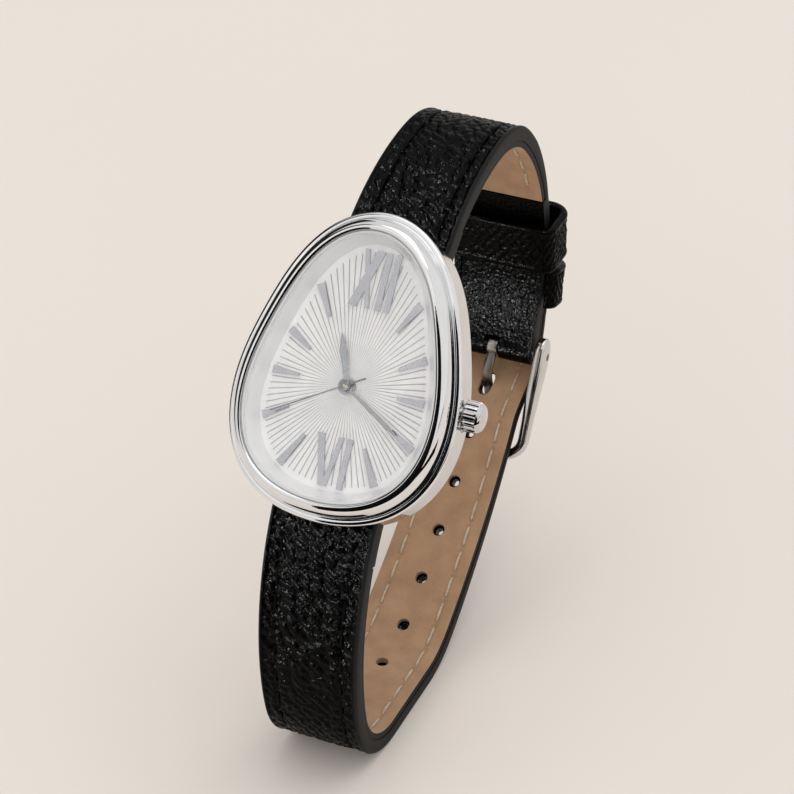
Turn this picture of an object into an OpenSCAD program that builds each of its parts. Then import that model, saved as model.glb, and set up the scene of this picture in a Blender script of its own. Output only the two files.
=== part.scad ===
// Teardrop case watch on a buckled leather strap, millimetres, standing on the bend of its strap.
// Every piece is drawn in the watch's own frame: origin where the hands' axis meets the dial,
// +X to 3 o'clock, +Y to 12 o'clock, +Z out of the dial. stand() then leans the watch back onto the floor.

/* [Case] */
// Length of the case from the 12 tip to the 6 edge
case_length = 33; // [32:0.5:36]
// Width of the case at its widest
case_width = 25.4; // [25:0.2:28]
// Height of the case wall from the bezel seat to the underside
wall_height = 4.3; // [4.1:0.1:5]
// How far the dial lies below the bezel seat
dial_depth = 0.4; // [0.3:0.05:0.6]
// How far the pressed-on case back reaches past the movement's cavity
back_overlap = 0.6; // [0.5:0.05:0.8]
// Thickness of the case back's outer disc
back_thick = 0.7; // [0.6:0.1:1]

/* [Bezel and crystal] */
// Width of the bezel seen from above
bezel_width = 2.2; // [2:0.1:2.4]
// Height of the bezel above its seat
bezel_height = 2.45; // [2.3:0.05:2.8]
// Width of the bezel's low outer step
step_width = 0.7; // [0.5:0.05:0.8]
// Height of the bezel's low outer step
step_height = 0.55; // [0.4:0.05:0.7]
// Thickness of the crystal
crystal_thick = 1; // [0.8:0.1:1.1]
// Width of the crystal's bevelled rim
crystal_bevel = 0.3; // [0.2:0.05:0.4]
// How far the inner dial ring slopes in from the crystal to the dial
ring_slope = 0.9; // [0.6:0.1:1.2]

/* [Dial] */
// Thickness of the dial plate
dial_thick = 0.35; // [0.3:0.05:0.4]
// Number of rays pressed into the dial
ray_count = 90; // [60:2:120]
// Height of the pressed rays
ray_height = 0.08; // [0.05:0.01:0.12]
// Height of the applied markers and numerals
marker_height = 0.3; // [0.2:0.05:0.35]

/* [Hands] */
// Length of the hour hand from its axis
hour_hand_length = 5.6; // [5:0.1:6.5]
// Length of the minute hand from its axis
minute_hand_length = 7.5; // [7:0.1:8]
// Length of the second hand from its axis
second_hand_length = 8.6; // [8:0.1:8.9]
// Hour shown
hour_shown = 11; // [0:1:11]
// Minute shown
minute_shown = 20; // [0:1:59]
// Second shown
second_shown = 40; // [0:1:59]

/* [Movement] */
// Diameter of the minute wheel on the hands' axis
wheel_d = 3.4; // [3:0.1:3.6]
// Width of the movement across its flats
movement_flats = 15.3; // [15:0.1:16]
// Thickness of the movement
movement_thick = 2.9; // [2.8:0.05:3]
// Diameter of the button battery beside the wheels
battery_d = 6.8; // [6.4:0.1:6.8]

/* [Crown] */
// Diameter of the crown over its flutes
crown_d = 3.3; // [3:0.1:3.6]
// Length of the crown
crown_length = 2.3; // [2:0.1:2.8]
// Number of flutes round the crown
crown_flutes = 18; // [14:1:22]
// Height of the crown's domed end
crown_dome = 0.65; // [0.5:0.05:0.9]
// Depth of the crown's axis below the dial
crown_depth = 1.6; // [1.5:0.1:1.8]

/* [Strap] */
// Width of the strap between the lugs
lug_width = 12; // [11:0.5:12.5]
// Width of the strap at the buckle
end_width = 9.8; // [9:0.2:10.6]
// Thickness of the strap at the case
strap_thick = 2.4; // [2.2:0.05:2.5]
// Thickness of the two glued layers at the buckle end
end_thick = 1.85; // [1.6:0.05:2]
// Thickness of the long strap's tail
tail_thick = 1.6; // [1.4:0.05:1.7]
// Thickness of the suede lining
lining_thick = 0.7; // [0.5:0.05:0.8]
// Diameter of the strap's holes
hole_d = 1.5; // [1.3:0.1:1.7]
// Distance from hole to hole
hole_pitch = 6.1; // [6:0.1:6.5]
// Number of holes, the one in use among them
hole_count = 7; // [5:1:7]
// Backward lean of the dial as the watch stands
lean = 36; // [33:0.5:38]

/* [Keepers and buckle] */
// Width of the loose keeper along the strap
keeper_width = 5.8; // [5:0.1:6]
// Width of the fixed keeper along the strap
fixed_width = 5; // [4.6:0.1:5.2]
// Thickness of the keepers' leather
keeper_thick = 1; // [0.8:0.05:1.1]
// Length of the buckle from its hinge to its front bar
buckle_length = 11.4; // [11:0.1:12]
// Width of the buckle's front bar and of its arms where they meet it
arm_width = 1.25; // [1:0.05:1.5]
// Width of each buckle arm at its hinge
eye_width = 1.6; // [1.4:0.05:1.8]
// Depth of the buckle's front bar
arm_depth = 1.7; // [1.5:0.05:1.9]
// Depth of each buckle arm at its hinge
eye_depth = 2.9; // [2.6:0.1:3.2]
// Width of the prong
prong_width = 1.2; // [1:0.05:1.3]
// Thickness of the prong
prong_thick = 0.6; // [0.5:0.05:0.7]

/* [Hidden] */

$fn = 48;
// Gap left between faces that are glued, pressed or seated
seat = 0.02;
// Radial gap of a shaft that turns in its hole
run = 0.03;

// Case outline: a rounded teardrop as a sum of cosines of the angle from 12 o'clock
lobes = [14.4, 0.87, 1.97, 0.97, 0.15, 0.15];
outline_steps = 96;
base_half_width = 12.69;
base_length = 33.04;
function lobe_r(a) = lobes[0] + lobes[1] * cos(a) + lobes[2] * cos(2 * a) + lobes[3] * cos(3 * a)
    + lobes[4] * cos(4 * a) + lobes[5] * cos(5 * a);
function edge(a) = lobe_r(a) * [sin(a) * case_width / 2 / base_half_width,
    cos(a) * case_length / base_length];
function unit(v) = v / norm(v);
function edge_out(a) = let (t = edge(a + 0.5) - edge(a - 0.5)) unit([-t[1], t[0]]);
// Point of the outline moved inwards by inset
function inset_at(a, inset) = edge(a) - inset * edge_out(a);
function outline(inset, steps = outline_steps) =
    [for (i = [0 : steps - 1]) inset_at(-i * 360 / steps, inset)];
// Radius at which the ray at angle a from the hands' axis meets an inset outline
function inset_r(a, inset, g, i = 0) = let (b = is_undef(g) ? a : g, p = inset_at(b, inset))
    i > 6 ? norm(p) : inset_r(a, inset, b + asin(sin(a - atan2(p[0], p[1]))), i + 1);

// Heights above the dial
seat_z = dial_depth;
under_z = seat_z - wall_height;
bezel_top_z = seat_z + bezel_height;
crystal_top_z = bezel_top_z - 0.05;
crystal_under_z = crystal_top_z - crystal_thick;
gasket_w = 0.25;
crystal_inset = bezel_width + gasket_w + seat;
ring_inset = crystal_inset + 0.05 + ring_slope;
back_z = under_z - back_thick;
tip_y = edge(0)[1];
foot_y = edge(180)[1];

// Strap bars in the case. Each lies where the case is wide enough to leave a horn beside the strap's notch
bar_r = 0.75;
bar_tip_r = 0.35;
bar_tip = 0.3;
notch_half = lug_width / 2 + 0.2;
strap_end_r = strap_thick / 2;
horn_12 = 1.411;
horn_6 = 1.299;
// Height on the outline, between two angles, at which the case has a given half width
function y_where(x, low, high, i = 0) = let (m = (low + high) / 2)
    i > 30 ? edge(m)[1] : edge(m)[0] < x ? y_where(x, m, high, i + 1) : y_where(x, low, m, i + 1);
bar_12 = [y_where(notch_half + horn_12, 0, 60), under_z + 0.5];
bar_6 = [y_where(notch_half + horn_6, 180, 120), under_z + 1.3];

// Wrist line: the inner face of the buckled strap as arcs of length and turn, from the 12 bar round
// to the 6 bar. One stretch lies straight on the floor.
lug_heading = -18.5;
rest_length = 10;
bends_to_rest = [[3, 0], [14, -33.5], [8, -44], [31.5, -77.5], [10.5, -13.5], [24.5, -16.5]];
function total(v, k, i = 0) = i < len(v) ? v[i][k] + total(v, k, i + 1) : 0;
knee_turn = lean - 270 - lug_heading - total(bends_to_rest, 1);
bends = concat(bends_to_rest, [[5.5, knee_turn], [rest_length, 0], [10, -76.5], [18.5, -35], [6, -14]]);
rest_from = total(bends_to_rest, 0) + 5.5;
rest_to = rest_from + rest_length;
wrist_length = total(bends, 0);
function along(p, h, k, d) = abs(k) < 0.001 ? p + d * [cos(h), sin(h)]
    : p + 180 / PI / k * [sin(h + k * d) - sin(h), cos(h) - cos(h + k * d)];
line_start = bar_12 + strap_end_r * [sin(lug_heading), -cos(lug_heading)];
// Start of each bend as [distance, point, heading]
function bend_starts(i = 0, s = 0, p = line_start, h = lug_heading) = i >= len(bends) ? [[s, p, h]]
    : concat([[s, p, h]], bend_starts(i + 1, s + bends[i][0],
        along(p, h, bends[i][1] / bends[i][0], bends[i][0]), h + bends[i][1]));
starts = bend_starts();
function bend_of(s, i = 0) = i >= len(bends) - 1 || s < starts[i + 1][0] ? i : bend_of(s, i + 1);
function raw_line(s) = let (i = bend_of(s), b = starts[i])
    along(b[1], b[2], bends[i][1] / bends[i][0], s - b[0]);
function smooth(t) = let (u = min(1, max(0, t))) u * u * (3 - 2 * u);
// The last bends are drawn to the 6 bar
line_end = bar_6 + [0, -strap_end_r];
closing = line_end - raw_line(wrist_length);
function line(s) = raw_line(s) + closing * smooth((s - rest_to) / (wrist_length - rest_to));
function line_dir(s) = unit(line(s + 0.1) - line(s - 0.1));
function line_out(s) = let (t = line_dir(s)) [-t[1], t[0]];

// Floor: the straight stretch is pressed flat against it
press = 0.1;
down = [sin(90 - lean), cos(90 - lean)];
rest_mid = (rest_from + rest_to) / 2;
floor_height = line(rest_mid) * down - (strap_thick - press);
rest_point = line(rest_mid) + (strap_thick - press) * line_out(rest_mid);
function off_floor(p) = let (h = p * down - floor_height) h < 0 ? p - h * down : p;
// Point at distance s along the wrist line and n outwards from it
function at(s, n) = off_floor(line(s) + n * line_out(s));
function rise(s, n) = line(s) + n * line_out(s);

// Where things lie along the wrist line
hinge_s = 56.9;
flap_s = 37;
wrap_s = 5;
climb = 7.5;
fold_r = 1.3;
hole_s = hinge_s + 4.5;
fixed_s = 49;
keeper_gap = 0.25;
loose_s = fixed_s - (fixed_width + keeper_width) / 2 - keeper_gap;
tail_s = loose_s - keeper_width / 2 + 0.5;
tail_gap = 0.3;
thick_12 = [[0, strap_thick], [28, strap_thick], [flap_s, end_thick],
    [hinge_s - 4, end_thick], [hinge_s, 2 * fold_r], [hinge_s + 1, 2 * fold_r]];
thick_6 = [[tail_s, tail_thick], [hinge_s + 10, tail_thick + 0.1], [rest_from - 8, strap_thick],
    [wrist_length, strap_thick]];
function t_12(s) = lookup(s, thick_12);
function t_6(s) = lookup(s, thick_6);
// How far the long strap rides outside the wrist line to cross the buckle bar
function lift(s) = s <= hinge_s ? t_12(s) + tail_gap
    : (2 * fold_r + tail_gap) * (1 - smooth((s - hinge_s - 0.8) / climb));
function w_12(s) = lug_width + (end_width - lug_width) * min(1, s / hinge_s);
function w_6(s) = let (full = end_width + (lug_width - end_width)
    * max(0, (s - hinge_s) / (wrist_length - hinge_s)), e = min(1, (s - tail_s) / 5))
    full * sqrt(max(0.06, 1 - pow(1 - e, 2)));

// Turns the pieces drawn in the watch's frame into the leaning watch on the floor
module stand() {
    translate([0, -(rest_point * [down[1], -down[0]]), -floor_height]) rotate([90 - lean, 0, 0]) children();
}
// Draws children with X along X, Y outwards from the strap and Z along the wrist line at s
module on_line(s, n = 0) {
    p = rise(s, n);
    d = line_dir(s);
    translate([0, p[0], p[1]]) rotate([atan2(d[1], d[0]) - 90, 0, 0]) rotate([0, 0, 180]) children();
}
module along_x(y, z, length, r, x = 0) {
    translate([x - length / 2, y, z]) rotate([0, 90, 0]) cylinder(h = length, r = r);
}

// Solid through a list of rings with the same number of points, closed at both ends
module skin(rings) {
    m = len(rings[0]);
    k = len(rings);
    polyhedron(points = [for (r = rings) for (p = r) p], faces = concat(
        [[for (j = [0 : m - 1]) j]],
        [for (i = [0 : k - 2]) for (j = [0 : m - 1])
            [i * m + j, (i + 1) * m + j, (i + 1) * m + (j + 1) % m]],
        [for (i = [0 : k - 2]) for (j = [0 : m - 1])
            [i * m + j, (i + 1) * m + (j + 1) % m, i * m + (j + 1) % m]],
        [[for (j = [m - 1 : -1 : 0]) (k - 1) * m + j]]));
}
// Ring round the case outline whose cross-section is a list of [inset, z], given anticlockwise
// as seen with the inset to the left
module outline_ring(section) {
    m = len(section);
    n = outline_steps;
    polyhedron(points = [for (i = [0 : n - 1]) for (q = section)
        let (p = inset_at(i * 360 / n, q[0])) [p[0], p[1], q[1]]],
        faces = [for (i = [0 : n - 1]) for (j = [0 : m - 1]) for (half = [0, 1])
            let (a = i * m + j, b = ((i + 1) % n) * m + j, c = ((i + 1) % n) * m + (j + 1) % m,
                d = i * m + (j + 1) % m) half == 0 ? [a, c, b] : [a, d, c]]);
}
// Closed disc of the outline through a list of [inset, z] from bottom to top
module outline_stack(levels) {
    skin([for (q = levels) [for (p = outline(q[0])) [p[0], p[1], q[1]]]]);
}
module outline_slab(inset, low, high) {
    translate([0, 0, low]) linear_extrude(high - low) polygon(outline(inset));
}

// The battery lies beside the minute wheel, and the movement reaches just past it
battery_rim = 0.14;
wheel_r = wheel_d / 2;
battery_off = wheel_r + 0.26 + battery_d / 2;
movement_d = 2 * (battery_off + battery_d / 2 + battery_rim);

// Case with its strap slots, bar holes, dial seat and movement cavity
cavity_r = movement_d / 2 + 0.7;
back_d = 2 * (cavity_r + back_overlap);
back_seat_r = back_d / 2 - 0.3;
crown_hole_r = 0.85;
crown_x = case_width / 2 - 0.25;
wall_inset = 0.15;
// Depth of the case back's seat, and wall of the lip that enters it
back_lip = 0.65;
back_lip_wall = 0.48;
// How far a cutting shape reaches past what it cuts
clear = 4;
module strap_slot(y, z, way) {
    far = 3 * clear;
    translate([-notch_half, way > 0 ? y - strap_end_r - 0.3 : y + strap_end_r + 0.3 - far, z - far])
        cube([2 * notch_half, far, far + strap_end_r + 0.25]);
}
module case_body() color("silver") stand() {
    difference() {
        outline_stack([[0.75, under_z], [0.35, under_z + 0.25], [wall_inset, under_z + 0.8],
            [wall_inset, seat_z]]);
        outline_slab(bezel_width + 0.15, -dial_thick, seat_z + 1);
        translate([0, 0, under_z - clear])
            cylinder(h = clear + wall_height - dial_depth - dial_thick / 2, r = cavity_r);
        translate([0, 0, under_z - clear]) cylinder(h = clear + back_lip, r = back_seat_r + seat);
        strap_slot(bar_12[0], bar_12[1], 1);
        strap_slot(bar_6[0], bar_6[1], -1);
        along_x(bar_12[0], bar_12[1], 2 * (notch_half + bar_tip + run), bar_tip_r + run);
        along_x(bar_6[0], bar_6[1], 2 * (notch_half + bar_tip + run), bar_tip_r + run);
        translate([cavity_r - 1, 0, -crown_depth]) rotate([0, 90, 0])
            cylinder(h = case_width / 2, r = crown_hole_r);
        translate([crown_x - 0.3, 0, -crown_depth]) rotate([0, 90, 0])
            cylinder(h = clear, r = crown_d / 2 + 0.2);
    }
}

// Bezel: a low rounded step outside and a tall rounded ring round the crystal
module bezel() color("silver") stand() {
    w = bezel_width;
    s = step_width;
    h = bezel_height;
    z = seat_z + seat;
    outline_ring([[w, z], [w, z + h * 0.86], [w - 0.1, z + h * 0.95], [w - 0.35, z + h],
        [w - 0.65, z + h * 0.97], [w - 0.95, z + h * 0.86], [w - 1.2, z + h * 0.68],
        [w - 1.38, z + h * 0.46], [s + 0.08, z + step_height], [s, z + step_height - 0.06],
        [s - 0.12, z + step_height + 0.02], [s * 0.5, z + step_height], [s * 0.15, z + step_height * 0.75],
        [0, z + step_height * 0.35], [0.05, z]]);
}
module crystal() color([0.85, 0.9, 0.95, 0.4]) stand() {
    outline_stack([[crystal_inset, crystal_under_z], [crystal_inset, crystal_top_z - crystal_bevel],
        [crystal_inset + crystal_bevel, crystal_top_z]]);
}
module crystal_gasket() color("gainsboro") stand() {
    translate([0, 0, crystal_under_z]) linear_extrude(crystal_thick - crystal_bevel) difference() {
        polygon(outline(bezel_width + seat));
        polygon(outline(crystal_inset - seat));
    }
}
module dial_ring() color("lightgrey") stand() {
    top = crystal_under_z - seat;
    outline_ring([[ring_inset, seat], [ring_inset - ring_slope, top], [bezel_width + 0.05, top],
        [bezel_width + 0.05, seat_z + 0.2], [bezel_width + 0.2, seat_z + 0.05], [bezel_width + 0.2, seat]]);
}

// Dial: plate with a sunburst of pressed rays, each a low ridge that ends in a point near the ring
dial_inset = bezel_width + 0.17;
axis_hole_r = 0.8;
ray_start_r = 1.3;
module sunburst() {
    n = ray_count;
    tip = ring_inset + 0.55;
    polyhedron(
        points = concat(
            [for (i = [0 : n - 1]) let (a = i * 360 / n) [ray_start_r * sin(a), ray_start_r * cos(a), 0]],
            [for (i = [0 : n - 1]) let (a = (i + 0.5) * 360 / n)
                [ray_start_r * sin(a), ray_start_r * cos(a), ray_height * 0.3]],
            [for (i = [0 : n - 1]) let (p = inset_at(i * 360 / n, tip)) [p[0], p[1], 0]],
            [for (i = [0 : n - 1]) let (p = inset_at((i + 0.5) * 360 / n, tip + 0.25))
                [p[0], p[1], ray_height]],
            [for (i = [0 : n - 1]) let (a = i * 360 / n)
                [ray_start_r * sin(a), ray_start_r * cos(a), -0.1]],
            [for (i = [0 : n - 1]) let (p = inset_at(i * 360 / n, tip)) [p[0], p[1], -0.1]]),
        faces = concat([for (i = [0 : n - 1]) let (j = (i + 1) % n) each [
            [3 * n + i, n + i, i], [2 * n + i, 3 * n + i, i],
            [2 * n + j, j, n + i], [3 * n + i, 2 * n + j, n + i],
            [2 * n + j, 3 * n + i, 2 * n + i],
            [n + i, j, i],
            [4 * n + j, 4 * n + i, i], [j, 4 * n + j, i],
            [5 * n + j, 2 * n + j, 2 * n + i], [5 * n + i, 5 * n + j, 2 * n + i],
            [5 * n + j, 5 * n + i, 4 * n + i], [4 * n + j, 5 * n + j, 4 * n + i]]]));
}
module dial() color("whitesmoke") stand() {
    difference() {
        union() {
            outline_slab(dial_inset, -dial_thick, 0);
            sunburst();
        }
        translate([0, 0, -2]) cylinder(h = 4, r = axis_hole_r);
    }
}

// Applied markers: wedges that widen outwards and end a step short of the dial ring
marker_base = 0.02 + ray_height;
marker_inner_w = 0.35;
marker_outer_w = 0.85;
marker_gaps = [0, 0.7, 0.45, 0.55, 0.45, 0.35, 0, 0.35, 0.45, 0.55, 0.45, 0.7];
marker_lengths = [0, 3.65, 3.1, 3, 3.05, 4.1, 0, 4.1, 3.05, 3, 3.1, 3.65];
module hour_markers() color("lightslategrey") stand() {
    for (h = [1, 2, 3, 4, 5, 7, 8, 9, 10, 11]) {
        outer = inset_r(h * 30, ring_inset) - marker_gaps[h];
        inner = outer - marker_lengths[h];
        rotate([0, 0, -h * 30]) translate([0, 0, marker_base]) linear_extrude(marker_height)
            polygon([[-marker_inner_w / 2, inner], [marker_inner_w / 2, inner],
                [marker_outer_w / 2, outer], [-marker_outer_w / 2, outer]]);
    }
}
module stroke(x_low, x_high, low, high, w) {
    polygon([[x_low - w / 2, low], [x_low + w / 2, low], [x_high + w / 2, high], [x_high - w / 2, high]]);
}
module roman_numerals() color("lightslategrey") stand() {
    twelve_top = tip_y - ring_inset - 0.65;
    twelve_low = twelve_top - 6.1;
    six_low = foot_y + ring_inset + 0.45;
    six_top = six_low + 5.35;
    translate([0, 0, marker_base]) linear_extrude(marker_height) {
        stroke(-1.75, 0.15, twelve_low, twelve_top, 0.95);
        stroke(-0.05, -1.45, twelve_low, twelve_top, 0.5);
        stroke(1.12, 1.12, twelve_low, twelve_top, 0.65);
        stroke(2.15, 2.15, twelve_low, twelve_top, 0.65);
        stroke(-0.28, -1.55, six_low, six_top, 0.7);
        stroke(0, 0.75, six_low, six_top, 0.55);
        stroke(1.75, 1.75, six_low, six_top, 0.65);
    }
}

// Hands, each on its own pipe: seconds arbor inside the cannon pinion inside the hour wheel's pipe
arbor_r = 0.14;
cannon_bore_r = arbor_r + run;
cannon_r = 0.38;
hour_bore_r = cannon_r + run;
hour_pipe_r = 0.62;
hand_thick = 0.12;
hour_z = 0.55;
minute_z = 0.85;
second_z = 1.15;
hour_angle = 30 * (hour_shown + minute_shown / 60);
minute_angle = 6 * minute_shown;
second_angle = 6 * second_shown;
module turned(angle) {
    rotate([0, 0, -angle]) children();
}
module hub(z, r, bore, height) {
    translate([0, 0, z]) difference() {
        cylinder(h = height, r = r);
        translate([0, 0, -1]) cylinder(h = height + 2, r = bore);
    }
}
module hour_hand() color("silver") stand() turned(hour_angle) {
    hub(hour_z, 0.95, hour_pipe_r + seat, hand_thick + 0.08);
    translate([0, 0, hour_z]) linear_extrude(hand_thick) polygon([[-0.22, 0.85], [0.22, 0.85],
        [0.44, hour_hand_length * 0.66], [0.06, hour_hand_length], [-0.06, hour_hand_length],
        [-0.44, hour_hand_length * 0.66]]);
}
module minute_hand() color("silver") stand() turned(minute_angle) {
    hub(minute_z, 0.75, cannon_r + seat, hand_thick + 0.06);
    translate([0, 0, minute_z]) linear_extrude(hand_thick) polygon([[-0.16, 0.65], [0.16, 0.65],
        [0.24, minute_hand_length * 0.8], [0.08, minute_hand_length], [-0.08, minute_hand_length],
        [-0.24, minute_hand_length * 0.8]]);
}
module second_hand() color("dimgrey") stand() turned(second_angle) {
    translate([0, 0, second_z]) rotate_extrude() polygon([[arbor_r + seat, 0], [0.62, 0], [0.62, 0.22],
        [0.5, 0.34], [arbor_r + seat, 0.38]]);
    translate([0, 0, second_z]) linear_extrude(hand_thick) {
        stroke(0, 0, 0.5, second_hand_length, 0.14);
        stroke(0, 0, -2.4, -0.5, 0.2);
    }
}

// Quartz movement in its plastic holder, between the dial and the case back
plate_z = -dial_thick - seat;
plate_thick = 1.1;
module_low = plate_z - movement_thick;
module movement_shape(grow = 0) {
    intersection() {
        circle(r = movement_d / 2 + grow, $fn = 72);
        square([movement_d + 4, movement_flats + 2 * grow], center = true);
    }
}
wheel_pocket_r = 2.6;
// Direction from the hands' axis to the battery
battery_way = 216.66;
battery_x = battery_off * cos(battery_way);
battery_y = battery_off * sin(battery_way);
battery_h = 1.7;
tooth = 0.18;
stem_r = 0.45;
stem_inner_x = 5;
module movement_holder() color("white") stand() {
    difference() {
        translate([0, 0, module_low]) linear_extrude(movement_thick) difference() {
            circle(r = cavity_r - 0.05, $fn = 72);
            movement_shape(0.08);
        }
        translate([stem_inner_x, 0, -crown_depth]) rotate([0, 90, 0])
            cylinder(h = cavity_r, r = crown_hole_r + 0.1);
    }
}
module main_plate() color("goldenrod") stand() {
    difference() {
        translate([0, 0, plate_z - plate_thick]) linear_extrude(plate_thick) movement_shape();
        translate([0, 0, plate_z - 0.55]) cylinder(h = 1, r = wheel_pocket_r);
        translate([0, 0, plate_z - 3]) cylinder(h = 4, r = hour_pipe_r + 0.1);
        translate([stem_inner_x - 0.2, -stem_r - 0.15, -crown_depth - stem_r - 0.15])
            cube([cavity_r, 2 * stem_r + 0.3, 2 * stem_r + 0.3]);
    }
}
board_thick = 0.25;
board_z = plate_z - plate_thick - seat - board_thick;
module circuit_board() color("darkgreen") stand() {
    difference() {
        translate([0, 0, board_z]) linear_extrude(board_thick) difference() {
            intersection() {
                movement_shape(-0.4);
                translate([-1.5, -10]) square([20, 11.2]);
            }
            translate([battery_x, battery_y]) circle(r = battery_d / 2 + 0.15);
            circle(r = 2.7);
            translate([stem_inner_x - 0.3, -stem_r - 0.3]) square([cavity_r, 2 * stem_r + 0.6]);
        }
    }
}
coil_r = 0.65;
coil_y = 5.6;
coil_length = 7.6;
module coil() color("chocolate") stand() {
    z = plate_z - plate_thick - seat - coil_r - 0.02;
    along_x(coil_y, z, coil_length, coil_r);
    for (side = [-1, 1]) along_x(coil_y, z, 0.5, coil_r * 1.02, side * (coil_length / 2 + 0.2));
}
module battery() color("silver") stand() {
    top = plate_z - plate_thick - seat;
    r = battery_d / 2;
    translate([battery_x, battery_y, top - battery_h]) rotate_extrude() polygon([[0, 0], [r - 0.15, 0],
        [r, 0.15], [r, battery_h - 0.3], [r - 0.45, battery_h - 0.2], [r - 0.6, battery_h],
        [0, battery_h]]);
}
clamp_thick = 0.08;
module battery_clamp() color("lightsteelblue") stand() {
    translate([battery_x, battery_y, module_low - seat - clamp_thick]) rotate([0, 0, battery_way - 180])
        linear_extrude(clamp_thick) translate([-battery_d / 2 + 0.6, -0.6]) square([battery_d + 0.8, 1.2]);
}
// Wheels of the train on the hands' axis
module gear_shape(teeth, r_tip, r_root) {
    step = 360 / teeth;
    polygon([for (i = [0 : teeth - 1]) each [
        r_root * [cos(i * step - step * 0.3), sin(i * step - step * 0.3)],
        r_tip * [cos(i * step - step * 0.13), sin(i * step - step * 0.13)],
        r_tip * [cos(i * step + step * 0.13), sin(i * step + step * 0.13)],
        r_root * [cos(i * step + step * 0.3), sin(i * step + step * 0.3)]]]);
}
module hour_wheel() color("gold") stand() {
    difference() {
        union() {
            translate([0, 0, plate_z - 0.42]) linear_extrude(0.22)
                gear_shape(32, wheel_r + 0.25, wheel_r + 0.25 - tooth);
            translate([0, 0, plate_z - 0.42])
                cylinder(h = hour_z + hand_thick + 0.08 - plate_z + 0.42, r = hour_pipe_r);
        }
        translate([0, 0, -3]) cylinder(h = 6, r = hour_bore_r);
    }
}
wheel_z = plate_z - plate_thick - 0.55;
module cannon_pinion() color("gold") stand() {
    difference() {
        union() {
            translate([0, 0, wheel_z]) linear_extrude(0.2) gear_shape(36, wheel_r, wheel_r - tooth);
            translate([0, 0, wheel_z]) cylinder(h = minute_z + hand_thick + 0.06 - wheel_z, r = cannon_r);
        }
        translate([0, 0, wheel_z - 1]) cylinder(h = 6, r = cannon_bore_r);
    }
}
module seconds_wheel() color("gold") stand() {
    z = wheel_z - 0.5;
    translate([0, 0, z]) linear_extrude(0.2) gear_shape(40, wheel_r - 0.1, wheel_r - 0.1 - tooth);
    translate([0, 0, z]) cylinder(h = second_z + 0.34 - z, r = arbor_r);
    translate([0, 0, module_low + 0.08]) cylinder(h = z - module_low - 0.08, r = arbor_r);
}
module train_bridge() color("lightgrey") stand() {
    difference() {
        translate([0, 0, module_low]) linear_extrude(0.28) difference() {
            movement_shape(-0.3);
            translate([battery_x, battery_y]) circle(r = battery_d / 2 + 0.3);
        }
        translate([0, 0, module_low - 1]) cylinder(h = 3, r = arbor_r + run);
    }
    post_top = plate_z - plate_thick - seat;
    for (p = [[0.2, 4], [-5.2, 3.9], [4.4, 3.6]]) {
        translate([p[0], p[1], module_low + 0.1])
            cylinder(h = post_top - module_low - 0.1, r = 0.4, $fn = 24);
    }
    translate([4.6, -4.6, module_low + 0.1])
        cylinder(h = board_z - seat - module_low - 0.1, r = 0.4, $fn = 24);
}

// Crown, its stem, tube and sealing ring, and the lever that follows the stem as it is pulled out
neck_r = 0.26;
lever_x = 5.5;
lever_thick = 0.22;
tube_r = crown_hole_r - seat;
tube_start_x = cavity_r + 0.2;
tube_end_x = crown_x + 0.75;
module stem() color("steelblue") stand() {
    difference() {
        translate([stem_inner_x, 0, -crown_depth]) rotate([0, 90, 0])
            cylinder(h = crown_x + crown_length - 0.6 - stem_inner_x, r = stem_r);
        translate([lever_x, 0, -crown_depth]) rotate([0, 90, 0]) difference() {
            cylinder(h = lever_thick + 0.1, r = stem_r + 0.1);
            translate([0, 0, -1]) cylinder(h = 3, r = neck_r);
        }
    }
}
module setting_lever() color("silver") stand() {
    difference() {
        translate([lever_x + 0.05, -0.5, -crown_depth - 1.15]) cube([lever_thick, 1, 1.55]);
        translate([lever_x, -neck_r - 0.04, -crown_depth - neck_r - 0.04])
            cube([lever_thick + 0.2, 2 * neck_r + 0.08, 2]);
    }
}
module crown_tube() color("silver") stand() {
    length = tube_end_x - tube_start_x;
    translate([tube_start_x, 0, -crown_depth]) rotate([0, 90, 0]) difference() {
        cylinder(h = length, r = tube_r);
        translate([0, 0, -clear]) cylinder(h = length + 2 * clear, r = stem_r + 0.05);
    }
}
module crown_gasket() color("dimgrey") stand() {
    translate([crown_x + 1.02, 0, -crown_depth]) rotate([0, 90, 0]) rotate_extrude()
        translate([stem_r + seat + 0.16, 0]) circle(r = 0.16, $fn = 20);
}
module crown() color("silver") stand() {
    r = crown_d / 2;
    cap_x = crown_length - crown_dome;
    stem_end = crown_length - 0.58;
    flute_r = 0.17;
    translate([crown_x, 0, -crown_depth]) rotate([0, 90, 0]) difference() {
        rotate_extrude() polygon([[stem_r + seat, 1.2], [tube_r + 0.06, 1.2], [tube_r + 0.06, 0],
            [r - 0.25, 0], [r, 0.2], [r, cap_x - 0.1], [r - 0.1, cap_x],
            [r - 0.14, cap_x + crown_dome * 0.2], [r * 0.82, cap_x + crown_dome * 0.5],
            [r * 0.64, cap_x + crown_dome * 0.75],
            [r * 0.34, cap_x + crown_dome * 0.94], [0, crown_length], [0, stem_end],
            [stem_r + seat, stem_end]]);
        for (i = [0 : crown_flutes - 1]) rotate([0, 0, i * 360 / crown_flutes])
            translate([r + 0.02, 0, -clear]) cylinder(h = clear + cap_x, r = flute_r, $fn = 16);
    }
}

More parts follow.
